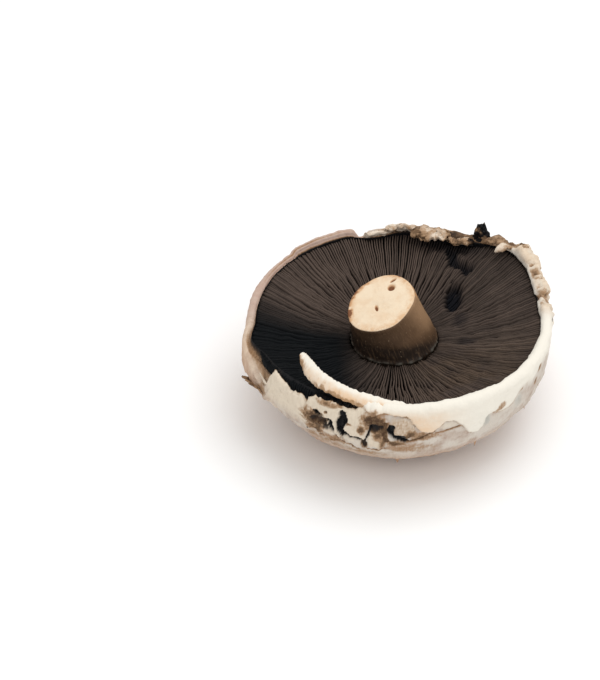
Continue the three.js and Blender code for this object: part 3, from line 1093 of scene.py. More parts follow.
        # The brown in the knobs' hollows and in the cleft is partly the flesh's brown and partly painted
        # shade.
        browned = work.lumps * (0.18 + 0.95 * smooth(-knobs, -0.02, 0.32)) + 0.7 * cleft
        browned = np.maximum(browned, dark_rim * (0.9 + 0.5 * patches))
        work.deepen("stain", 0.7 * browned * ~work.inside)
        out_by = work.lumps * (0.7 + 3.4 * knobs) - 2.0 * cleft + 1.6 * knobs * dark_rim
        return (out_by + 0.22 * work.on_lip * noise_at(work.plain, 3.2, 2)) * ~work.inside

    def scales(self, work: SkinWork) -> tuple[Array, Array]:
        """The fibrous scales that the skin has broken into.

        Args:
            work: The skin's vertices.

        Returns:
            How high each scale stands, and how brown it is, from 0 to 1.
        """
        across, down = work.plain[:, :2] / self.scale_width, work.along / self.scale_length
        bent = [noise_at(work.plain + k * 50, 4.0, 3) for k in range(3)]
        space = np.column_stack([across, down]) + 0.34 * np.column_stack(bent)
        rise = np.empty(len(space))
        brown = np.empty(len(space))
        for i, p in enumerate(space.tolist()):
            distances, cells = noise.voronoi(Vector(p), distance_metric="DISTANCE")
            gap = distances[1] - distances[0]
            up = (p[2] - cells[0][2]) + 0.5
            own = noise.cell(cells[0] * 7.3)
            rise[i] = min(1.0, gap / 0.3) * max(0.0, up) * (0.4 + 0.6 * own)
            brown[i] = min(1.0, gap / 0.35) * (0.4 + 0.6 * own)
        return rise, brown

    def roughen(self, work: SkinWork) -> Array:
        """The relief of the skin: scales outside, fibres, and a step at the band's edge, under which a shadow
        line is painted.

        Args:
            work: The skin's vertices.

        Returns:
            How far each vertex moves out for it.
        """
        theta, depth, plain, patches = work.theta, work.depth, work.plain, work.patches
        rest = self.growth.rest_radius
        near = bump(theta, *self.plain_front_hump)
        start = 5 + 20 * bump(theta, *self.scales_low_hump)
        scaly = smooth(depth, start, start + 9) * ~work.inside * ~work.on_lip
        rise, brown = self.scales(work)
        work.masks["scale"] = scaly * brown * (1 - 0.5 * near * (depth < 30))

        fibres = noise_at(work.grain, 0.9, 3)
        zone = self.rough_stretch.cover(theta) * (1 - smooth(depth, 20, 28))
        relief = 0.5 * noise_at(plain, 13, 2) + 0.12 * fibres + 0.08 * patches
        relief = relief + zone * 0.3 * (fibres + patches)
        relief = relief * smooth(work.radius, rest, rest + 8)
        relief = relief + scaly * (0.9 - 0.4 * near) * rise * smooth(work.radius, rest + 2, rest + 10)
        relief = relief + work.torn * 0.35 * noise_at(plain, 3.0, 3)

        band = work.masks["band"]
        step = 0.9 * band * np.where(theta > 180, 1 - 0.65 * smooth(theta, 304, 318), 0.6)
        step = step + 0.3 * band * noise_at(plain, (5.0, 5.0, 2.0), 3)
        # Painted shadow: a thin dark line just under the band's step, laid into the stain mask.
        band_step_shadow = np.exp(-(((depth - work.edge - 0.3 + 0.35 * work.wobble) / 0.45) ** 2))
        band_step_shadow = band_step_shadow * (theta > 254) * (theta < 324)
        work.deepen("stain", 0.42 * band_step_shadow * (0.6 + 0.8 * smooth(patches, -0.3, 0.4)))
        return (relief + work.push) * ~work.inside + step

    def place(self, work: SkinWork, out_by: Array) -> Array:
        """Moves the vertices out, thins the torn and the far rim, and bends the cap as it grew.

        Args:
            work: The skin's vertices; its radii and heights become the finished ones.
            out_by: How far each vertex moves out.

        Returns:
            One row of x, y, z for each vertex.
        """
        thin_rim = bump(work.theta, *self.thin_rim_hump) * work.on_lip
        groove = np.exp(-(((work.radius - self.groove_radius) / 0.4) ** 2)) * thin_rim
        work.deepen("stain", 0.5 * groove * (work.radius < self.lip_middle))
        out_by = out_by * smooth(work.ring, 3, 14) - 0.5 * groove
        thin = np.maximum(work.torn * work.on_lip, 0.55 * thin_rim)
        narrowing = thin * 0.85 * np.maximum(self.thin_lip_radius - work.radius, 0)
        work.radius = work.radius + work.out[:, 0] * out_by + narrowing
        z = work.z + work.out[:, 1] * out_by + thin * 0.3 * work.ragged
        work.z = np.where(work.along < 10, np.maximum(z, 0), np.maximum(z, 0.02))
        return self.growth.place(work.radius, work.theta, work.z)

    def colour_skin(self, work: SkinWork) -> None:
        """Sets out the peach tint, the tan far rim, the brown outside and the crown.

        Args:
            work: The skin's vertices, in their finished places.
        """
        theta, depth, masks = work.theta, work.depth, work.masks
        band_peach = bump(theta, *self.peach_hump) * smooth(depth, -1.0, 3.0) * masks["band"]
        masks["peach"] = np.maximum(band_peach, 0.35 * work.lumps * smooth(work.patches, -0.2, 0.4))
        tan = self.tan_stretch.cover(theta) * smooth(work.z, 24, 38)
        masks["tan"] = tan * (1 - smooth(depth, 5, 11))
        masks["flesh"] = masks["flesh"] * (1 - tan)
        on_wall = ~work.on_lip & ~work.inside
        masks["crown"] = smooth(self.growth.cap_radius - work.radius, 16, 38) * on_wall
        middle, full, none = self.pale_front
        away = smooth(np.abs(turned_by(theta, middle)), full, none)
        masks["outside"] = np.maximum(away * smooth(depth, -2, 4), smooth(depth, 20, 36)) * ~work.inside

    def build(self, material: bpy.types.Material) -> bpy.types.Object:
        """Builds the skin and dresses it.

        Args:
            material: The skin's finish.

        Returns:
            The object that stands for the CAD node "cap".
        """
        rings = self.rings()
        piece = Piece("cap_skin", Slot.SKIN)
        base = piece.take(spun(rings.tolist(), self.sectors))
        work = self.survey(base, piece.read("ring"), rings)
        self.tear(work)
        self.colour_rim(work)
        self.wear(work)
        out_by = self.swell(work)
        out_by = out_by + self.roughen(work)
        piece.move(self.place(work, out_by))
        self.colour_skin(work)
        piece.set_grain(work.grain)
        piece.mask_skin(**work.masks)
        return piece.finish(material, "cap")


@dataclass(frozen=True)
class Station:
    """A cross-section of the peeled band: where its outer lower edge and its inner upper edge run."""

    angle: float
    low_radius: float
    low_height: float
    high_radius: float
    high_height: float
    thickness: float


@dataclass
class PeeledBand:
    """The band of rim that has peeled off the near wall and curls up over the gills."""

    growth: Growth
    rings: int = 220
    sides: int = 40
    samples: int = 200
    rounding: int = 27
    length: float = 60.0
    torn_under: Stretch = Stretch(0.22, 0.32, 0.58, 0.68)
    stations: tuple[Station, ...] = (
        Station(281, 54.0, 39.6, 52.0, 42.2, 1.4),
        Station(272, 54.6, 39.8, 50.6, 43.0, 2.4),
        Station(262, 54.3, 40.4, 49.7, 44.2, 2.6),
        Station(252, 53.2, 41.4, 49.2, 45.0, 2.5),
        Station(242, 51.6, 41.8, 47.8, 45.6, 2.4),
        Station(233, 50.2, 41.4, 46.0, 46.2, 2.6),
        Station(226, 48.4, 42.2, 44.2, 46.8, 2.5),
        Station(221, 46.0, 43.6, 43.4, 47.0, 2.0),
        Station(218, 44.4, 45.6, 43.4, 47.0, 0.9),
    )

    def template(self) -> bmesh.types.BMesh:
        """A closed tube of radius 1 that runs from z 0 to 1.

        Returns:
            The bmesh.
        """
        bm = bmesh.new()
        bmesh.ops.create_cone(
            bm, cap_ends=True, cap_tris=False, segments=self.sides, radius1=1, radius2=1, depth=1
        )
        rising = [e for e in bm.edges if abs(e.verts[0].co.z - e.verts[1].co.z) > 0.5]
        bmesh.ops.subdivide_edges(bm, edges=rising, cuts=self.rings, use_grid_fill=True)
        bmesh.ops.translate(bm, verts=bm.verts, vec=(0, 0, 0.5))
        return bm

    def course(self, along: Array) -> list[Array]:
        """How the band runs, with the corners at its stations rounded off.

        Args:
            along: 0 at the band's root and 1 at its tip.

        Returns:
            What a station gives, one after the other, at each place.
        """
        marks = np.linspace(0, 1, len(self.stations))
        even = np.linspace(0, 1, self.samples)
        kernel = np.hanning(self.rounding) / np.hanning(self.rounding).sum()
        courses = []
        for column in zip(*(astuple(station) for station in self.stations)):
            padded = np.pad(np.interp(even, marks, column), self.rounding // 2, mode="edge")
            courses.append(np.interp(along, even, np.convolve(padded, kernel, mode="valid")))
        return courses

    def place(self, along: Array, across: Array, through: Array, rough: Array) -> Array:
        """Lays the tube along its course and frays its edges.

        Args:
            along: 0 at the band's root and 1 at its tip.
            across: -1 at its lower edge and 1 at its upper one.
            through: -1 at its inner face and 1 at its outer one.
            rough: The places that the roughness is read at.

        Returns:
            One row of x, y, z for each point.
        """
        theta, low_radius, low_height, high_radius, high_height, thickness = self.course(along)
        width = np.hypot(high_radius - low_radius, high_height - low_height)
        way = np.stack([high_radius - low_radius, high_height - low_height], axis=-1) / width[:, None]
        out = np.stack([way[:, 1], -way[:, 0]], axis=-1)
        fray = 0.45 * noise_at(rough * [1, 0.2, 0.2], 1.3, 3) * smooth(across, 0.3, 1)
        fray = fray + 0.55 * noise_at(rough * [1, 0.2, 0.2] + 40, 2.2, 3) * smooth(-across, 0.4, 1)
        body = 0.30 * noise_at(rough, 3.5, 3) + 0.10 * noise_at(rough, 1.0, 2)
        end = np.sqrt(np.clip(1 - smooth(along, 0.955, 1.0) ** 2, 0.02, 1))
        reach = across * (width / 2 + fray) * end
        rise = through * (thickness / 2) * (1 - 0.35 * smooth(across, 0.2, 1)) + 0.5 * (1 - across**2) + body
        radius = (low_radius + high_radius) / 2 + way[:, 0] * reach + out[:, 0] * rise * end
        height = (low_height + high_height) / 2 + way[:, 1] * reach + out[:, 1] * rise * end
        return self.growth.place(radius, theta, height)

    def build(self, material: bpy.types.Material) -> bpy.types.Object:
        """Builds the band and dresses it.

        Args:
            material: The skin's finish.

        Returns:
            The object.
        """
        piece = Piece("peeled_band", Slot.SKIN)
        base = piece.take(self.template())
        along = base[:, 2]
        turn = np.arctan2(base[:, 1], base[:, 0])
        across = np.sign(np.cos(turn)) * np.abs(np.cos(turn)) ** 0.75
        through = np.sign(np.sin(turn)) * np.abs(np.sin(turn)) ** 0.85
        way = along * self.length
        rough = np.column_stack([way, across * 2, through * 2])
        piece.move(self.place(along, across, through, rough))

        outer = smooth(through, -0.3, 0.4)
        under = 1 - outer
        low_side = smooth(-across, -0.75, 0.35)
        spots = noise_at(rough, 1.6, 3)
        below = smooth(-across + 0.5 * noise_at(rough, 3.0, 2), -0.3, 0.3)
        tip_skin = smooth(along, 0.70, 0.84) * below * outer
        torn_under = smooth(-across + 0.4 * spots, 0.3, 0.8) * self.torn_under.cover(along)
        spotted = low_side * smooth(spots, 0.1, 0.5)
        piece.set_grain(np.column_stack([way / 5, across * 3, through * 3]))
        piece.mask_skin(
            band=1.0 - 0.55 * under,
            flesh=1.0,
            peach=np.maximum(low_side * (1.2 - 0.4 * along) + 0.35 * spots, 0.7 * under),
            stain=np.maximum.reduce([0.5 * tip_skin, 0.4 * torn_under, 0.2 * spotted]),
        )
        return piece.finish(material)


@dataclass(frozen=True)
class Flake:
    """A flake of torn skin that stands on the rim between two angles."""

    name: str
    from_angle: float
    to_angle: float
    foot: float
    rise: float
    lean: float
    radius: float
    thickness: float
    curl: float = 0.0
    taper: float = 0.3
    ragged: float = 0.5
    knobs: float = 0.4
    band: float = 0.0
    stain: float = 0.0
    rot: float = 0.0
    grey: float = 0.0
    seed: float = 0.0

    @property
    def length(self) -> float:
        """How long it is along the rim."""
        return abs(math.radians(self.to_angle - self.from_angle)) * self.radius


@dataclass
class TornFlakes:
    """The flakes of torn skin round the rim."""

    growth: Growth
    steps_per_mm: float = 2.2
    full_curl: float = 150.0
    flakes: tuple[Flake, ...] = (
        Flake(
            "overhang_left", 102, 92, foot=39.6, rise=4.4, lean=-0.6, radius=53.0, thickness=1.6,
            curl=0.35, taper=0.05, ragged=0.3, knobs=0.6, band=0.8, stain=0.15, seed=3,
        ),
        Flake(
            "overhang_right", 94, 80, foot=39.6, rise=7.8, lean=-0.8, radius=53.2, thickness=1.9,
            curl=0.42, taper=0.1, ragged=0.3, knobs=0.9, band=0.8, stain=0.2, seed=4,
        ),
        Flake(
            "curled_flake", 83, 66, foot=39.0, rise=8.2, lean=-1.0, radius=53.4, thickness=3.0,
            curl=0.72, taper=0.1, ragged=0.3, knobs=1.4, band=0.75, stain=0.45, seed=5,
        ),
        Flake(
            "crumpled_flake", 68, 55, foot=38.0, rise=6.0, lean=-1.0, radius=53.2, thickness=2.2,
            curl=0.55, taper=0.2, ragged=0.5, knobs=1.4, band=0.3, stain=0.6, rot=0.45, seed=8,
        ),
        Flake(
            "standing_flake", 58.4, 49.6, foot=38.0, rise=10.8, lean=0.4, radius=53.0, thickness=2.2,
            taper=0.72, ragged=0.4, knobs=0.6, stain=1.0, rot=0.95, seed=12,
        ),
        Flake(
            "brown_edge_flake", 51, 37, foot=39.0, rise=4.8, lean=-0.4, radius=53.0, thickness=2.0,
            curl=0.35, taper=0.15, ragged=0.4, knobs=0.8, band=0.3, stain=0.55, seed=14,
        ),
        Flake(
            "hanging_flake", 43.0, 38.6, foot=41.4, rise=4.4, lean=-1.0, radius=51.6, thickness=2.0,
            curl=1.0, taper=0.2, ragged=0.4, knobs=0.9, band=0.7, stain=0.35, seed=17,
        ),
        Flake(
            "ear_flake", 37.5, 30.5, foot=40.0, rise=5.8, lean=0.6, radius=53.6, thickness=2.4,
            curl=0.1, taper=0.45, ragged=0.5, knobs=1.0, stain=0.5, seed=27,
        ),
        Flake(
            "splayed_flake", 207.5, 192, foot=12.0, rise=14.2, lean=10.8, radius=44.6, thickness=1.3,
            taper=0.2, ragged=0.6, knobs=0.4, stain=0.6, rot=0.3, grey=0.6, seed=20,
        ),
        Flake(
            "membrane_flake", 211, 204, foot=20.0, rise=14.0, lean=4.0, radius=51.0, thickness=0.6,
            taper=0.5, ragged=0.5, knobs=0.3, band=0.5, grey=0.35, seed=23,
        ),
    )

    def sheet(self, flake: Flake) -> bmesh.types.BMesh:
        """A closed box, one unit each way, cut finely enough for the flake.

        Args:
            flake: The flake's sizes.

        Returns:
            The bmesh.
        """
        counts = (int(flake.length * self.steps_per_mm), int(flake.rise * self.steps_per_mm), 2)
        bm = bmesh.new()
        bmesh.ops.create_cube(bm, size=1)
        for axis, count in enumerate(counts):
            edges = [e for e in bm.edges if abs(e.verts[0].co[axis] - e.verts[1].co[axis]) > 0.9]
            bmesh.ops.subdivide_edges(bm, edges=edges, cuts=max(2, count), use_grid_fill=True)
        return bm

    def middle(self, flake: Flake, across: Array, up: Array) -> Array:
        """The middle of the flake's thickness.

        Args:
            flake: The flake's sizes.
            across: 0 at the flake's first angle and 1 at its last.
            up: 0 at its foot and 1 at its free edge.

        Returns:
            One row of x, y, z for each point.
        """
        spot = np.column_stack([across * flake.length, up * flake.rise, np.full(len(up), flake.seed * 9.0)])
        narrowed = 0.5 + (across - 0.5) * (1 - flake.taper * up**1.5)
        theta = flake.from_angle + (flake.to_angle - flake.from_angle) * narrowed
        side_play = noise_at(spot * [0, 1, 1] + [0, 0, 5], 2.5, 3) * smooth(np.abs(across - 0.5), 0.2, 0.5)
        theta = theta + np.degrees(flake.ragged * 0.8 * side_play / flake.radius)
        reach_up = np.maximum(up * (1 + 0.35 * flake.ragged * noise_at(spot * [1, 0, 1], 2.6, 3)), 0)
        turn = np.radians(flake.curl * self.full_curl) * reach_up
        bent = np.maximum(turn, 1e-6)
        inward = flake.rise * (1 - np.cos(bent)) / bent * reach_up
        upward = flake.rise * np.sin(bent) / bent * reach_up
        crumple = flake.knobs * noise_at(spot, 3.0, 3) * smooth(up, 0.05, 0.4)
        radius = flake.radius + flake.lean * reach_up**1.5 - inward + crumple
        return self.growth.place(radius, theta, flake.foot + upward + 0.4 * crumple)

    def build_one(self, flake: Flake, material: bpy.types.Material) -> bpy.types.Object:
        """Builds one flake: a thin sheet that is bent, curled and crumpled.

        Args:
            flake: Its sizes.
            material: The skin's finish.

        Returns:
            The object.
        """
        piece = Piece(flake.name, Slot.SKIN)
        base = piece.take(self.sheet(flake)) + 0.5
        across, up, through = base[:, 0], np.clip(base[:, 1], 0, 1), base[:, 2] - 0.5
        step = 0.01
        middle = self.middle(flake, across, up)
        sideways = self.middle(flake, across + step, up) - self.middle(flake, across - step, up)
        upwards = self.middle(flake, across, up + step) - self.middle(flake, across, np.maximum(up - step, 0))
        normal = np.cross(sideways, upwards)
        normal = normal / np.maximum(np.linalg.norm(normal, axis=1)[:, None], 1e-9)
        off_middle = np.abs(across - 0.5)
        thin = 1 - 0.65 * smooth(off_middle, 0.36, 0.5) - 0.5 * smooth(up, 0.75, 1)
        knob = 0.3 * flake.knobs * noise_at(middle + flake.seed, 1.8, 3)
        piece.move(middle + normal * (through * flake.thickness * np.maximum(thin, 0.2) + knob)[:, None])

        patches = noise_at(middle + flake.seed * 3, 3.5, 3)
        edge = smooth(off_middle, 0.3, 0.5) + smooth(up, 0.7, 1.0)
        piece.set_grain(middle)
        piece.mask_skin(
            band=flake.band * (1 - 0.7 * smooth(patches, 0.0, 0.5)),
            flesh=0.75,
            peach=0.3,
            stain=flake.stain * (0.75 + 0.9 * patches + 0.3 * edge),
            rot=flake.rot * (0.75 + 1.1 * patches),
            grey=flake.grey,
        )
        return piece.finish(material)

    def build(self, material: bpy.types.Material) -> list[bpy.types.Object]:
        """Builds every flake."""
        return [self.build_one(flake, material) for flake in self.flakes]


@dataclass(frozen=True)
class Tip:
    """The free tip of one scale: its angle, its turn round the cap's side, its length and its stand-off."""

    angle: float
    turn: float
    length: float
    stand_off: float


@dataclass
class ScaleTips:
    """Free tips of scales that stand off the skin, and three that break the outline at the front."""

    growth: Growth
    tips: int = 240
    length: tuple[float, float] = (1.4, 3.4)
    width: float = 0.62
    flatness: float = 0.22
    end_radius: float = 0.08
    sides: int = 8
    stand_off: float = 0.26
    sunk: float = 0.34
    jitter: float = 0.15
    lowest_turn: float = 22.0
    highest_turn: float = 76.0
    front: tuple[float, float] = (268, 60)
    highest_turn_at_front: float = 52.0
    chosen: tuple[tuple[float, float, float], ...] = (
        (271.5, 33.5, 4.8),
        (307.5, 27.0, 3.4),
        (331.0, 20.0, 2.6),
    )
    chosen_stand_off: float = 0.7
    seed: int = 5

    def spots(self) -> list[Tip]:
        """Sets out the tips: the chosen ones by angle, depth under the rim and length, the rest at random.

        Returns:
            The tips.
        """
        draw = np.random.default_rng(self.seed)
        turns = np.linspace(*self.growth.side_turns, 200)
        depths = self.growth.rim_height - self.growth.side(turns)[1]
        placed = []
        for angle, depth, length in self.chosen:
            turn = float(np.interp(-depth, -depths, turns))
            placed.append(Tip(angle, turn, length, self.chosen_stand_off))
        middle, half_width = self.front
        while len(placed) < self.tips:
            angle = float(draw.uniform(0, 360))
            at_front = abs(turned_by(angle, middle)) < half_width
            highest = self.highest_turn_at_front if at_front else self.highest_turn
            turn = float(draw.uniform(self.lowest_turn, highest))
            placed.append(Tip(angle, turn, float(draw.uniform(*self.length)), self.stand_off))
        return placed

    def add(self, bm: bmesh.types.BMesh, tip: Tip) -> None:
        """Adds one tip: a flat cone, sunk into the skin, that points down the cap's side.

        Args:
            bm: The bmesh that holds the tips.
            tip: The tip.
        """
        radius, height = self.growth.side(np.array([tip.turn, tip.turn - 1.0]))
        root, lower = (Vector(p) for p in self.growth.place(radius, np.full(2, tip.angle), height).tolist())
        down = (lower - root).normalized()
        lean = math.radians(tip.angle)
        across = Vector((-math.sin(lean), math.cos(lean), 0))
        out = across.cross(down).normalized()
        if out.dot(Vector((root.x, root.y, 0))) < 0:
            out = -out
        axis = (down + tip.stand_off * out).normalized()
        face = axis.cross(across).normalized()
        middle = root + axis * tip.length * 0.4 - out * self.sunk
        made = bmesh.ops.create_cone(
            bm,
            cap_ends=True,
            segments=self.sides,
            radius1=self.width * tip.length / 2,
            radius2=self.end_radius,
            depth=tip.length,
        )
        bmesh.ops.scale(bm, verts=made["verts"], vec=(1, self.flatness, 1))
        turned = Matrix((across, face, axis)).transposed()
        bmesh.ops.transform(bm, verts=made["verts"], matrix=Matrix.Translation(middle) @ turned.to_4x4())

    def build(self, material: bpy.types.Material) -> bpy.types.Object:
        """Builds every tip as one piece.

        Args:
            material: The skin's finish.

        Returns:
            The object.
        """
        bm = bmesh.new()
        for tip in self.spots():
            self.add(bm, tip)
        piece = Piece("scale_tips", Slot.SKIN)
        base = piece.take(bm)
        shift = np.column_stack([noise_at(base + k * 30, 1.5, 2) for k in range(3)])
        piece.move(base + self.jitter * shift)
        piece.set_grain(base)
        piece.mask_skin(stain=0.05, scale=0.7, outside=1.0)
        return piece.finish(material)


@dataclass(frozen=True)
class Blot:
    """A dark oval patch on the gills, seen from above, in millimetres from the axis."""

    x: float
    y: float
    half_width: float
    half_length: float
    solid: float
    fade: float = 1.05

    def cover(self, x: Array, y: Array, frayed: Array) -> Array:
        """How far the patch covers each point, from 0 to 1, with a frayed outline."""
        across = np.hypot((x - self.x) / self.half_width, (y - self.y) / self.half_length)
        return 1 - smooth(across + frayed, self.solid, self.fade)


@dataclass
class GillRing:
    """The gills: thin blades of three lengths that stand in a bed of flesh round the stem."""

    growth: Growth
    blades: int = 324
    starts: tuple[float, ...] = (16.2, 21.5, 16.2, 31.0)
    start_play: float = 2.5
    shortest_start: float = 27.0
    length_steps: int = 26
    height_steps: int = 3
    foot_thickness: float = 0.74
    crest_thickness: float = 0.44
    bed_steps: int = 180
    bed_rings: int = 12
    bed_thickness: float = 0.9
    sway: float = 0.42
    lean: float = 0.26
    wander: float = 0.12
    play: float = 0.13
    seed: int = 11
    torn_stretch: Stretch = Stretch(196, 206, 250, 262)
    bruise: Blot = Blot(21.6, 20.4, 3.6, 7.4, 0.5)
    below: Blot = Blot(24.0, 8.6, 3.6, 5.0, 0.2)
    beside: Blot = Blot(25.6, -3.0, 5.4, 3.6, 0.2)
    split_from: tuple[float, float] = (20.1, 43.3)
    split_by: tuple[float, float] = (5.8, -11.8)
    split_half_width: float = 1.9
    split_sway: tuple[float, float] = (0.8, 1.6)
    height_range: tuple[float, float] = (0.88, 1.0)
    shortest_height: float = 0.96
    sunk: float = 0.2

    def template(self) -> bmesh.types.BMesh:
        """One straight blade along +X, one unit high, repeated round the axis.

        Returns:
            The bmesh with every blade.
        """
        g = self.growth
        bm = bmesh.new()
        bmesh.ops.create_cube(bm, size=1)
        length = g.gill_outer - g.gill_inner
        bmesh.ops.scale(bm, verts=bm.verts, vec=(length, 0.1, 1))
        bmesh.ops.translate(bm, verts=bm.verts, vec=(g.gill_inner + length / 2, 0, 0.5))
        for axis, least, steps in ((0, length / 2, self.length_steps), (2, 0.5, self.height_steps)):
            edges = [e for e in bm.edges if abs(e.verts[0].co[axis] - e.verts[1].co[axis]) > least]
            bmesh.ops.subdivide_edges(bm, edges=edges, cuts=steps - 1, use_grid_fill=True)
        bmesh.ops.spin(
            bm,
            geom=bm.verts[:] + bm.edges[:] + bm.faces[:],
            cent=(0, 0, 0),
            axis=(0, 0, 1),
            angle=2 * math.pi / self.blades * (self.blades - 1),
            steps=self.blades - 1,
            use_duplicate=True,
        )
        return bm

    def differences(self) -> tuple[Array, Array, Array, Array]:
        """What differs from blade to blade.

        Returns:
            Where each starts, how tall it stands, how far it is off its place, and its tone.
        """
        draw = np.random.default_rng(self.seed)
        start = np.array([self.starts[i % len(self.starts)] for i in range(self.blades)])
        moved = start + draw.uniform(-1, 1, self.blades) * self.start_play
        start = np.where(start > self.growth.gill_inner, moved, start)
        shorter = np.where(start > self.shortest_start, self.shortest_height, 1.0)
        tall = draw.uniform(*self.height_range, self.blades) * shorter
        off = draw.uniform(-1, 1, self.blades) * self.play
        tone = draw.uniform(0, 1, self.blades)
        return start, tall, off, tone

    def past_rim(self, theta: Array) -> Array:
        """How much further out the gills run where the rim is torn or thin, at each angle."""
        torn = 2.1 * self.torn_stretch.cover(theta) + 0.9 * bump(theta, 74, 70)
        return torn + 0.9 * bump(theta, 132, 84)

    def damage(self, points: Array, theta: Array, radius: Array) -> tuple[Array, Array, Array]:
        """The bruised hollow, the split near the far rim, the dark patches beside them and the painted shadow
        under the far flakes.

        Args:
            points: Rows of x and y.
            theta: The angle of each point.
            radius: The distance of each point from the axis.

        Returns:
            The bruise, the split and the darkness of all of it, from 0 to 1.
        """
        x, y = points.T
        frayed = 0.35 * noise_at(np.column_stack([x, y, y * 0]), 1.8, 3)
        bruise = self.bruise.cover(x, y, frayed)
        (from_x, from_y), (by_x, by_y) = self.split_from, self.split_by
        share = np.clip((y - from_y) / by_y, 0, 1)
        sway = self.split_sway[0] * np.sin(y / self.split_sway[1])
        beside = np.hypot(x - from_x - by_x * share - sway, y - from_y - by_y * share)
        split = 1 - smooth(beside / self.split_half_width + frayed, 0.4, 1.3)
        # The gills' outer ends under the far flakes are lowered and darkened: partly torn, partly painted
        # shadow of the flakes.
        split = np.maximum(split, 0.85 * bump(theta, 66, 46) * smooth(radius + 3 * frayed, 45, 49.5))
        patches = [0.5 * self.below.cover(x, y, frayed), 0.6 * self.beside.cover(x, y, frayed)]
        return bruise, split, np.maximum.reduce([0.95 * bruise, 0.8 * split, *patches])

    def build_blades(self, material: bpy.types.Material) -> bpy.types.Object:
        """Builds the blades and dresses them.

        Args:
            material: The gills' finish.

        Returns:
            The object that stands for the CAD node "gills".
        """
        g = self.growth
        piece = Piece("gill_blades", Slot.GILL)
        base = piece.take(self.template())
        pitch = 360 / self.blades
        turn = np.degrees(np.arctan2(base[:, 1], base[:, 0]))
        blade = np.round(turn / pitch).astype(int)
        side = np.sign(turn - blade * pitch)
        blade = blade % self.blades
        start, tall, off, tone = (values[blade] for values in self.differences())
        along = g.share(np.hypot(base[:, 0], base[:, 1]))
        up = np.clip(base[:, 2], 0, 1)
        theta = blade * pitch
        radius = start + along * (g.gill_outer + self.past_rim(theta) - start)

        circle = np.column_stack([np.cos(np.radians(theta)), np.sin(np.radians(theta))])
        spot = np.column_stack([circle * 20, radius * 0.55])
        drift = self.sway * noise_at(spot, 7.0, 2) + self.lean * noise_at(spot + 70, 4.0, 2) * up
        drift = drift + self.wander * noise_at(np.column_stack([blade * 9.0, radius, radius * 0]), 6.0, 2)
        thickness = self.foot_thickness + (self.crest_thickness - self.foot_thickness) * up
        narrow = np.minimum(1, 0.4 + (radius - 14) / 18)
        sideways = off * narrow + drift * smooth(radius, 14, 36) + side * thickness / 2 * narrow

        bruise, split, dark = self.damage(circle * radius[:, None], theta, radius)
        nose = np.where(start > g.gill_inner + 1, smooth(along, 0.0, 0.4) ** 0.7, 1.0)
        share = tall * (1 - 0.55 * bruise) * (1 - 0.5 * split) + 0.10 * noise_at(spot + 30, 2.0, 3)
        floor = g.bed(radius) - self.sunk
        z = floor + (g.crest(radius) - floor) * np.clip(share * nose, 0.03, 1.05) * up
        piece.move(g.place(radius, theta + np.degrees(sideways / radius), z))

        level = (z - g.bed(radius)) / (g.crest(radius) - g.bed(radius))
        piece.set_grain(np.column_stack([circle * 14, radius / 14]))
        piece.mask(
            # crest drives the painted shade down the blades and the partly painted highlight on their edges.
            crest=0.35 * level + 0.65 * up,
            # This carries the dark of the damage, with the painted shadow under the far flakes.
            bruise=dark,
            # Painted shadow over the gills on the left, fading towards the back.
            wet=smooth(-circle[:, 0] * radius, 4, 22) * (1 - smooth(circle[:, 1], -0.05, 0.45)),
            warm=bump(theta, 315, 110),
            # Painted light round 112 degrees and painted shade round 32 degrees are added to each blade's own
            # tone.
            own=0.1 + 0.8 * tone + 0.5 * bump(theta, 112, 120) - 0.5 * bump(theta, 32, 100),
        )
        return piece.finish(material, "gills")

    def build_bed(self, material: bpy.types.Material) -> bpy.types.Object:
        """Builds the dark flesh between the gills.

        Args:
            material: The gills' finish.

        Returns:
            The object.
        """
        g = self.growth
        radii = np.linspace(g.gill_inner - 1.0, g.gill_outer + 0.1, self.bed_rings)
        top = list(zip(radii, g.bed(radii) + self.bed_thickness))
        under = list(zip(radii[::-1], g.bed(radii[::-1])))
        piece = Piece("gill_bed", Slot.GILL)
        base = piece.take(spun(top + under, self.bed_steps, closed=True))
        theta = np.degrees(np.arctan2(base[:, 1], base[:, 0])) % 360
        piece.move(g.place(np.hypot(base[:, 0], base[:, 1]), theta, base[:, 2]))
        piece.set_grain(base)
        # With crest at 0 the bed takes the near-black groove colour: painted shade between the blades.
        piece.mask(crest=0.0, bruise=0.0, wet=0.0, warm=0.0, own=0.5)
        return piece.finish(material)


@dataclass(frozen=True)
class CutMark:
    """An oval mark on the stem's cut: its middle, its half sizes, its slant, its depth and its stain."""

    x: float
    y: float
    wide: float
    tall: float
    slant: float
    depth: float
    stain: float

    def cover(self, x: Array, y: Array) -> Array:
        """How far the mark covers each point.

        Args:
            x: Places across the cut.
            y: Places up the cut.

        Returns:
            1 inside the mark, falling to 0 outside it.
        """
        c, s = math.cos(math.radians(self.slant)), math.sin(math.radians(self.slant))
        u = ((x - self.x) * c + (y - self.y) * s) / self.wide
        v = ((y - self.y) * c - (x - self.x) * s) / self.tall
        return 1 - smooth(np.hypot(u, v), 0.3, 1.0)


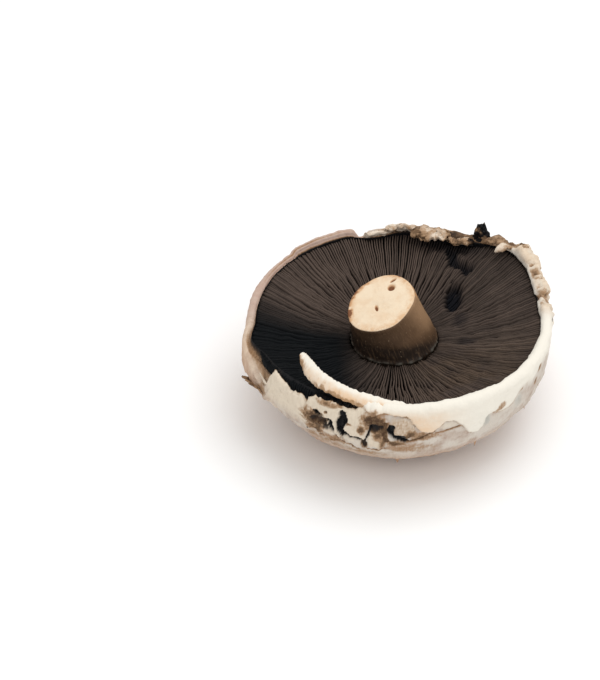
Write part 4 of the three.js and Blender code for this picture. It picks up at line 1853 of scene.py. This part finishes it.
@dataclass
class Stem:
    """The stem: broad at the foot, leaning, and cut off aslant."""

    growth: Growth
    foot_radius: float = 15.3
    top_radius: float = 12.2
    lean: tuple[float, float] = (-5.0, 16.1)
    cut_normal: tuple[float, float, float] = (-0.25, -0.23, 0.94)
    steps: int = 220
    side_rings: int = 60
    cut_rings: int = 34
    edge_rounding: float = 0.9
    foot_ring: float = 6.0
    collar: float = 0.7
    cut_dome: float = 0.35
    cut_marks: tuple[CutMark, ...] = (
        CutMark(3.9, 5.8, 1.8, 1.9, 20, depth=1.5, stain=1.0),
        CutMark(4.6, 8.8, 2.0, 0.7, 28, depth=0.6, stain=0.8),
        CutMark(-1.5, -2.1, 0.8, 1.9, 12, depth=0.9, stain=0.9),
        CutMark(2.2, -2.9, 3.0, 0.6, 14, depth=0.3, stain=0.0),
    )

    @property
    def base(self) -> float:
        """The height where the stem comes out of the gills."""
        return self.growth.rim_height - self.growth.gill_drop

    @property
    def top(self) -> float:
        """The height of the cut before it is slanted."""
        return self.base + self.lean[1]

    def profile(self) -> list[tuple[float, float]]:
        """The outline from the foot's middle, up the side and in over the cut.

        Returns:
            (radius, height) pairs.
        """
        r = self.edge_rounding
        foot = float(self.growth.bed(np.array(0.0))) + self.growth.gap / 2
        heights = np.linspace(foot, self.top - r, self.side_rings)
        share = np.clip((heights - self.base) / self.lean[1], 0, 1)
        eased = 0.5 * share + 0.5 * share * share * (3 - 2 * share)
        side = zip(self.foot_radius + (self.top_radius - self.foot_radius) * eased, heights)
        turns = np.radians(np.linspace(15, 90, 6))
        rounding = zip(self.top_radius - r + r * np.cos(turns), self.top - r + r * np.sin(turns))
        cut = [(q, self.top) for q in np.linspace(self.top_radius - r, 0, self.cut_rings)[1:]]
        return [(0.0, foot), (self.foot_ring, foot), *side, *rounding, *cut]

    def stains(self, theta: Array, radius: Array, share: Array, on_cut: Array, ragged: Array) -> list[Array]:
        """The brown bits round the edge of the cut.

        Args:
            theta: Angles in degrees.
            radius: Distances from the stem's middle.
            share: 0 where the stem comes out of the gills and 1 at the cut.
            on_cut: 1 on the cut.
            ragged: Noise that breaks the stains up.

        Returns:
            The stain on the cut's edge and the stain under it.
        """
        edge = smooth(radius, 9.4, 11.6) * smooth(share, 0.88, 0.98)
        on_edge = 1.7 * bump(theta, 190, 46) + 1.0 * bump(theta, 140, 110) + 0.7 * bump(theta, 56, 70)
        under_edge = bump(theta, 18, 44) * smooth(share, 0.80, 0.92) * (1 - on_cut)
        return [edge * on_edge * ragged, under_edge * ragged]

    def build(self, material: bpy.types.Material) -> bpy.types.Object:
        """Builds the stem and dresses it.

        Args:
            material: The stem's finish.

        Returns:
            The object that stands for the CAD node "stem".
        """
        piece = Piece("stem_body", Slot.STEM)
        base = piece.take(spun(self.profile(), self.steps))
        height = base[:, 2]
        radius = np.hypot(base[:, 0], base[:, 1])
        turn = np.arctan2(base[:, 1], base[:, 0])
        theta = np.degrees(turn) % 360
        share = np.clip((height - self.base) / self.lean[1], 0, 1)
        on_cut = smooth(height, self.top - 0.45, self.top - 0.1)
        oval = 1 + 0.035 * share * np.cos(2 * turn - 1.6) + 0.012 * np.cos(5 * turn)
        x, y = radius * oval * np.cos(turn), radius * oval * np.sin(turn)

        spot = np.column_stack([x, y, height])
        grain = np.column_stack([np.cos(turn) * 14, np.sin(turn) * 14, height / 6])
        ribs = 0.10 * noise_at(grain, 0.8, 3) + 0.22 * noise_at(spot, 6.0, 2)
        swell = ribs * (1 - on_cut) * smooth(radius, 4, 11)
        collar = self.collar * np.exp(-(((height - self.base - 0.2) / 0.7) ** 2))
        collar = collar * (0.7 + 0.6 * noise_at(spot, 1.6, 3))
        swell = swell + collar * (radius > 12)

        marks = [mark.cover(x, y) * on_cut for mark in self.cut_marks]
        rise = 0.16 * noise_at(spot, 3.5, 3) + 0.05 * noise_at(spot, 1.0, 2)
        rise = rise + self.cut_dome * (1 - (radius / self.top_radius) ** 2)
        rise = rise - sum(mark.depth * cover for mark, cover in zip(self.cut_marks, marks))
        nx, ny, nz = self.cut_normal
        slant = -(nx * x + ny * y) / nz
        moved_x = x + self.lean[0] * share**1.1 + swell * np.cos(turn)
        moved_y = y + swell * np.sin(turn)
        piece.move(np.column_stack([moved_x, moved_y, height + slant * share**1.5 + rise * on_cut]))

        # Painted light and shade: the side facing 228 degrees is darker and the side round 15 degrees
        # lighter; the foot darkens where it leaves the gills, partly painted shade and partly spore stain.
        shade_side = 0.5 + 0.5 * np.cos(np.radians(turned_by(theta, 228)))
        dark = 0.15 + 0.85 * shade_side * (1 - 0.35 * share) - 0.3 * share * bump(theta, 15, 150)
        dark = dark + 0.75 * (1 - smooth(share, 0.0, 0.5)) * (0.35 + shade_side)
        marked = [mark.stain * cover for mark, cover in zip(self.cut_marks, marks)]
        ragged = 0.6 + 0.9 * noise_at(spot, 2.0, 3)
        piece.set_grain(grain)
        piece.mask(
            cut=on_cut,
            dark=dark,
            edge=smooth(radius, 8.6, 12.0) * on_cut,
            stain=np.maximum.reduce([*marked, *self.stains(theta, radius, share, on_cut, ragged)]),
            fuzz=smooth(collar, 0.25, 0.6) * 0.6,
        )
        return piece.finish(material, "stem")


@dataclass(frozen=True)
class SoftLight:
    """A square soft light that faces the mushroom, in metres and watts."""

    name: str
    place: tuple[float, float, float]
    size: float
    power: float

    def build(self) -> None:
        """Hangs the light."""
        data = bpy.data.lights.new(self.name, "AREA")
        data.size = self.size
        data.energy = self.power
        light = bpy.data.objects.new(self.name, data)
        light.location = self.place
        light.rotation_euler = (-Vector(self.place)).to_track_quat("-Z", "Y").to_euler()
        bpy.context.scene.collection.objects.link(light)


@dataclass
class Studio:
    """The pale floor, the soft light and the camera."""

    elevation: float = 39.2
    distance: float = 2500.0
    millimetres_per_pixel: float = 0.362
    frame_width: int = 600
    frame_height: int = 680
    rim_centre: tuple[float, float, float] = (1.65, 0.0, 42.0)
    rim_centre_pixel: tuple[float, float] = (399.0, 316.0)
    sensor: float = 36.0
    floor_half_width: float = 4.0
    floor_colour: tuple[float, float, float] = (0.93, 0.93, 0.925)
    floor_roughness: float = 0.9
    ambient: float = 0.82
    lights: tuple[SoftLight, ...] = (
        SoftLight("key_light", (0.25, 0.1, 1.1), 0.9, 5.5),
        SoftLight("fill_light", (0.3, -0.9, 0.8), 0.8, 1.5),
    )

    def build_camera(self) -> None:
        """Puts the camera where the photograph was taken from."""
        lean = math.radians(self.elevation)
        back = Vector((0, -math.cos(lean), math.sin(lean)))
        right = Vector((1, 0, 0))
        up = Vector((0, math.sin(lean), math.cos(lean)))
        off_right = (self.rim_centre_pixel[0] - self.frame_width / 2) * self.millimetres_per_pixel
        off_up = (self.frame_height / 2 - self.rim_centre_pixel[1]) * self.millimetres_per_pixel
        aim = Vector(self.rim_centre) - right * off_right - up * off_up
        data = bpy.data.cameras.new("camera")
        focal_pixels = self.distance / self.millimetres_per_pixel
        data.sensor_width = self.sensor
        data.lens = focal_pixels * self.sensor / max(self.frame_width, self.frame_height)
        camera = bpy.data.objects.new("camera", data)
        camera.location = (aim + back * self.distance) * MM
        camera.rotation_euler = (math.pi / 2 - lean, 0, 0)
        bpy.context.scene.collection.objects.link(camera)
        bpy.context.scene.camera = camera

    def build_floor(self) -> None:
        """Lays the pale floor."""
        bm = bmesh.new()
        bmesh.ops.create_grid(bm, x_segments=1, y_segments=1, size=self.floor_half_width)
        mesh = bpy.data.meshes.new("floor")
        bm.to_mesh(mesh)
        bm.free()
        shader = Shader("pale_floor")
        shader.feed(shader.surface.inputs["Base Color"], self.floor_colour)
        shader.feed(shader.surface.inputs["Roughness"], self.floor_roughness)
        mesh.materials.append(shader.material)
        floor = bpy.data.objects.new("floor", mesh)
        bpy.context.scene.collection.objects.link(floor)

    def build_lights(self) -> None:
        """Hangs the lights and sets the soft light all round."""
        world = bpy.data.worlds.new("studio")
        world.use_nodes = True
        backdrop = world.node_tree.nodes["Background"]
        backdrop.inputs["Color"].default_value = (1, 1, 1, 1)
        backdrop.inputs["Strength"].default_value = self.ambient
        bpy.context.scene.world = world
        for light in self.lights:
            light.build()

    def build(self) -> None:
        """Builds the studio."""
        self.build_floor()
        self.build_lights()
        self.build_camera()
        bpy.context.scene.view_settings.view_transform = "Standard"


def main() -> None:
    """Builds the mushroom piece by piece, then the studio round it."""
    logging.basicConfig(level=logging.INFO, format="%(name)s: %(message)s")
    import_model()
    growth = Growth()
    skin = SkinFinish().material()
    gill = GillFinish().material()
    gills = GillRing(growth)
    pieces = [
        CapSkin(growth).build(skin),
        PeeledBand(growth).build(skin),
        *TornFlakes(growth).build(skin),
        ScaleTips(growth).build(skin),
        gills.build_blades(gill),
        gills.build_bed(gill),
        Stem(growth).build(StemFinish().material()),
    ]
    for piece in pieces:
        log.info("%s: %d faces", piece.name, len(piece.data.polygons))
    Studio().build()


if __name__ == "__main__":
    main()
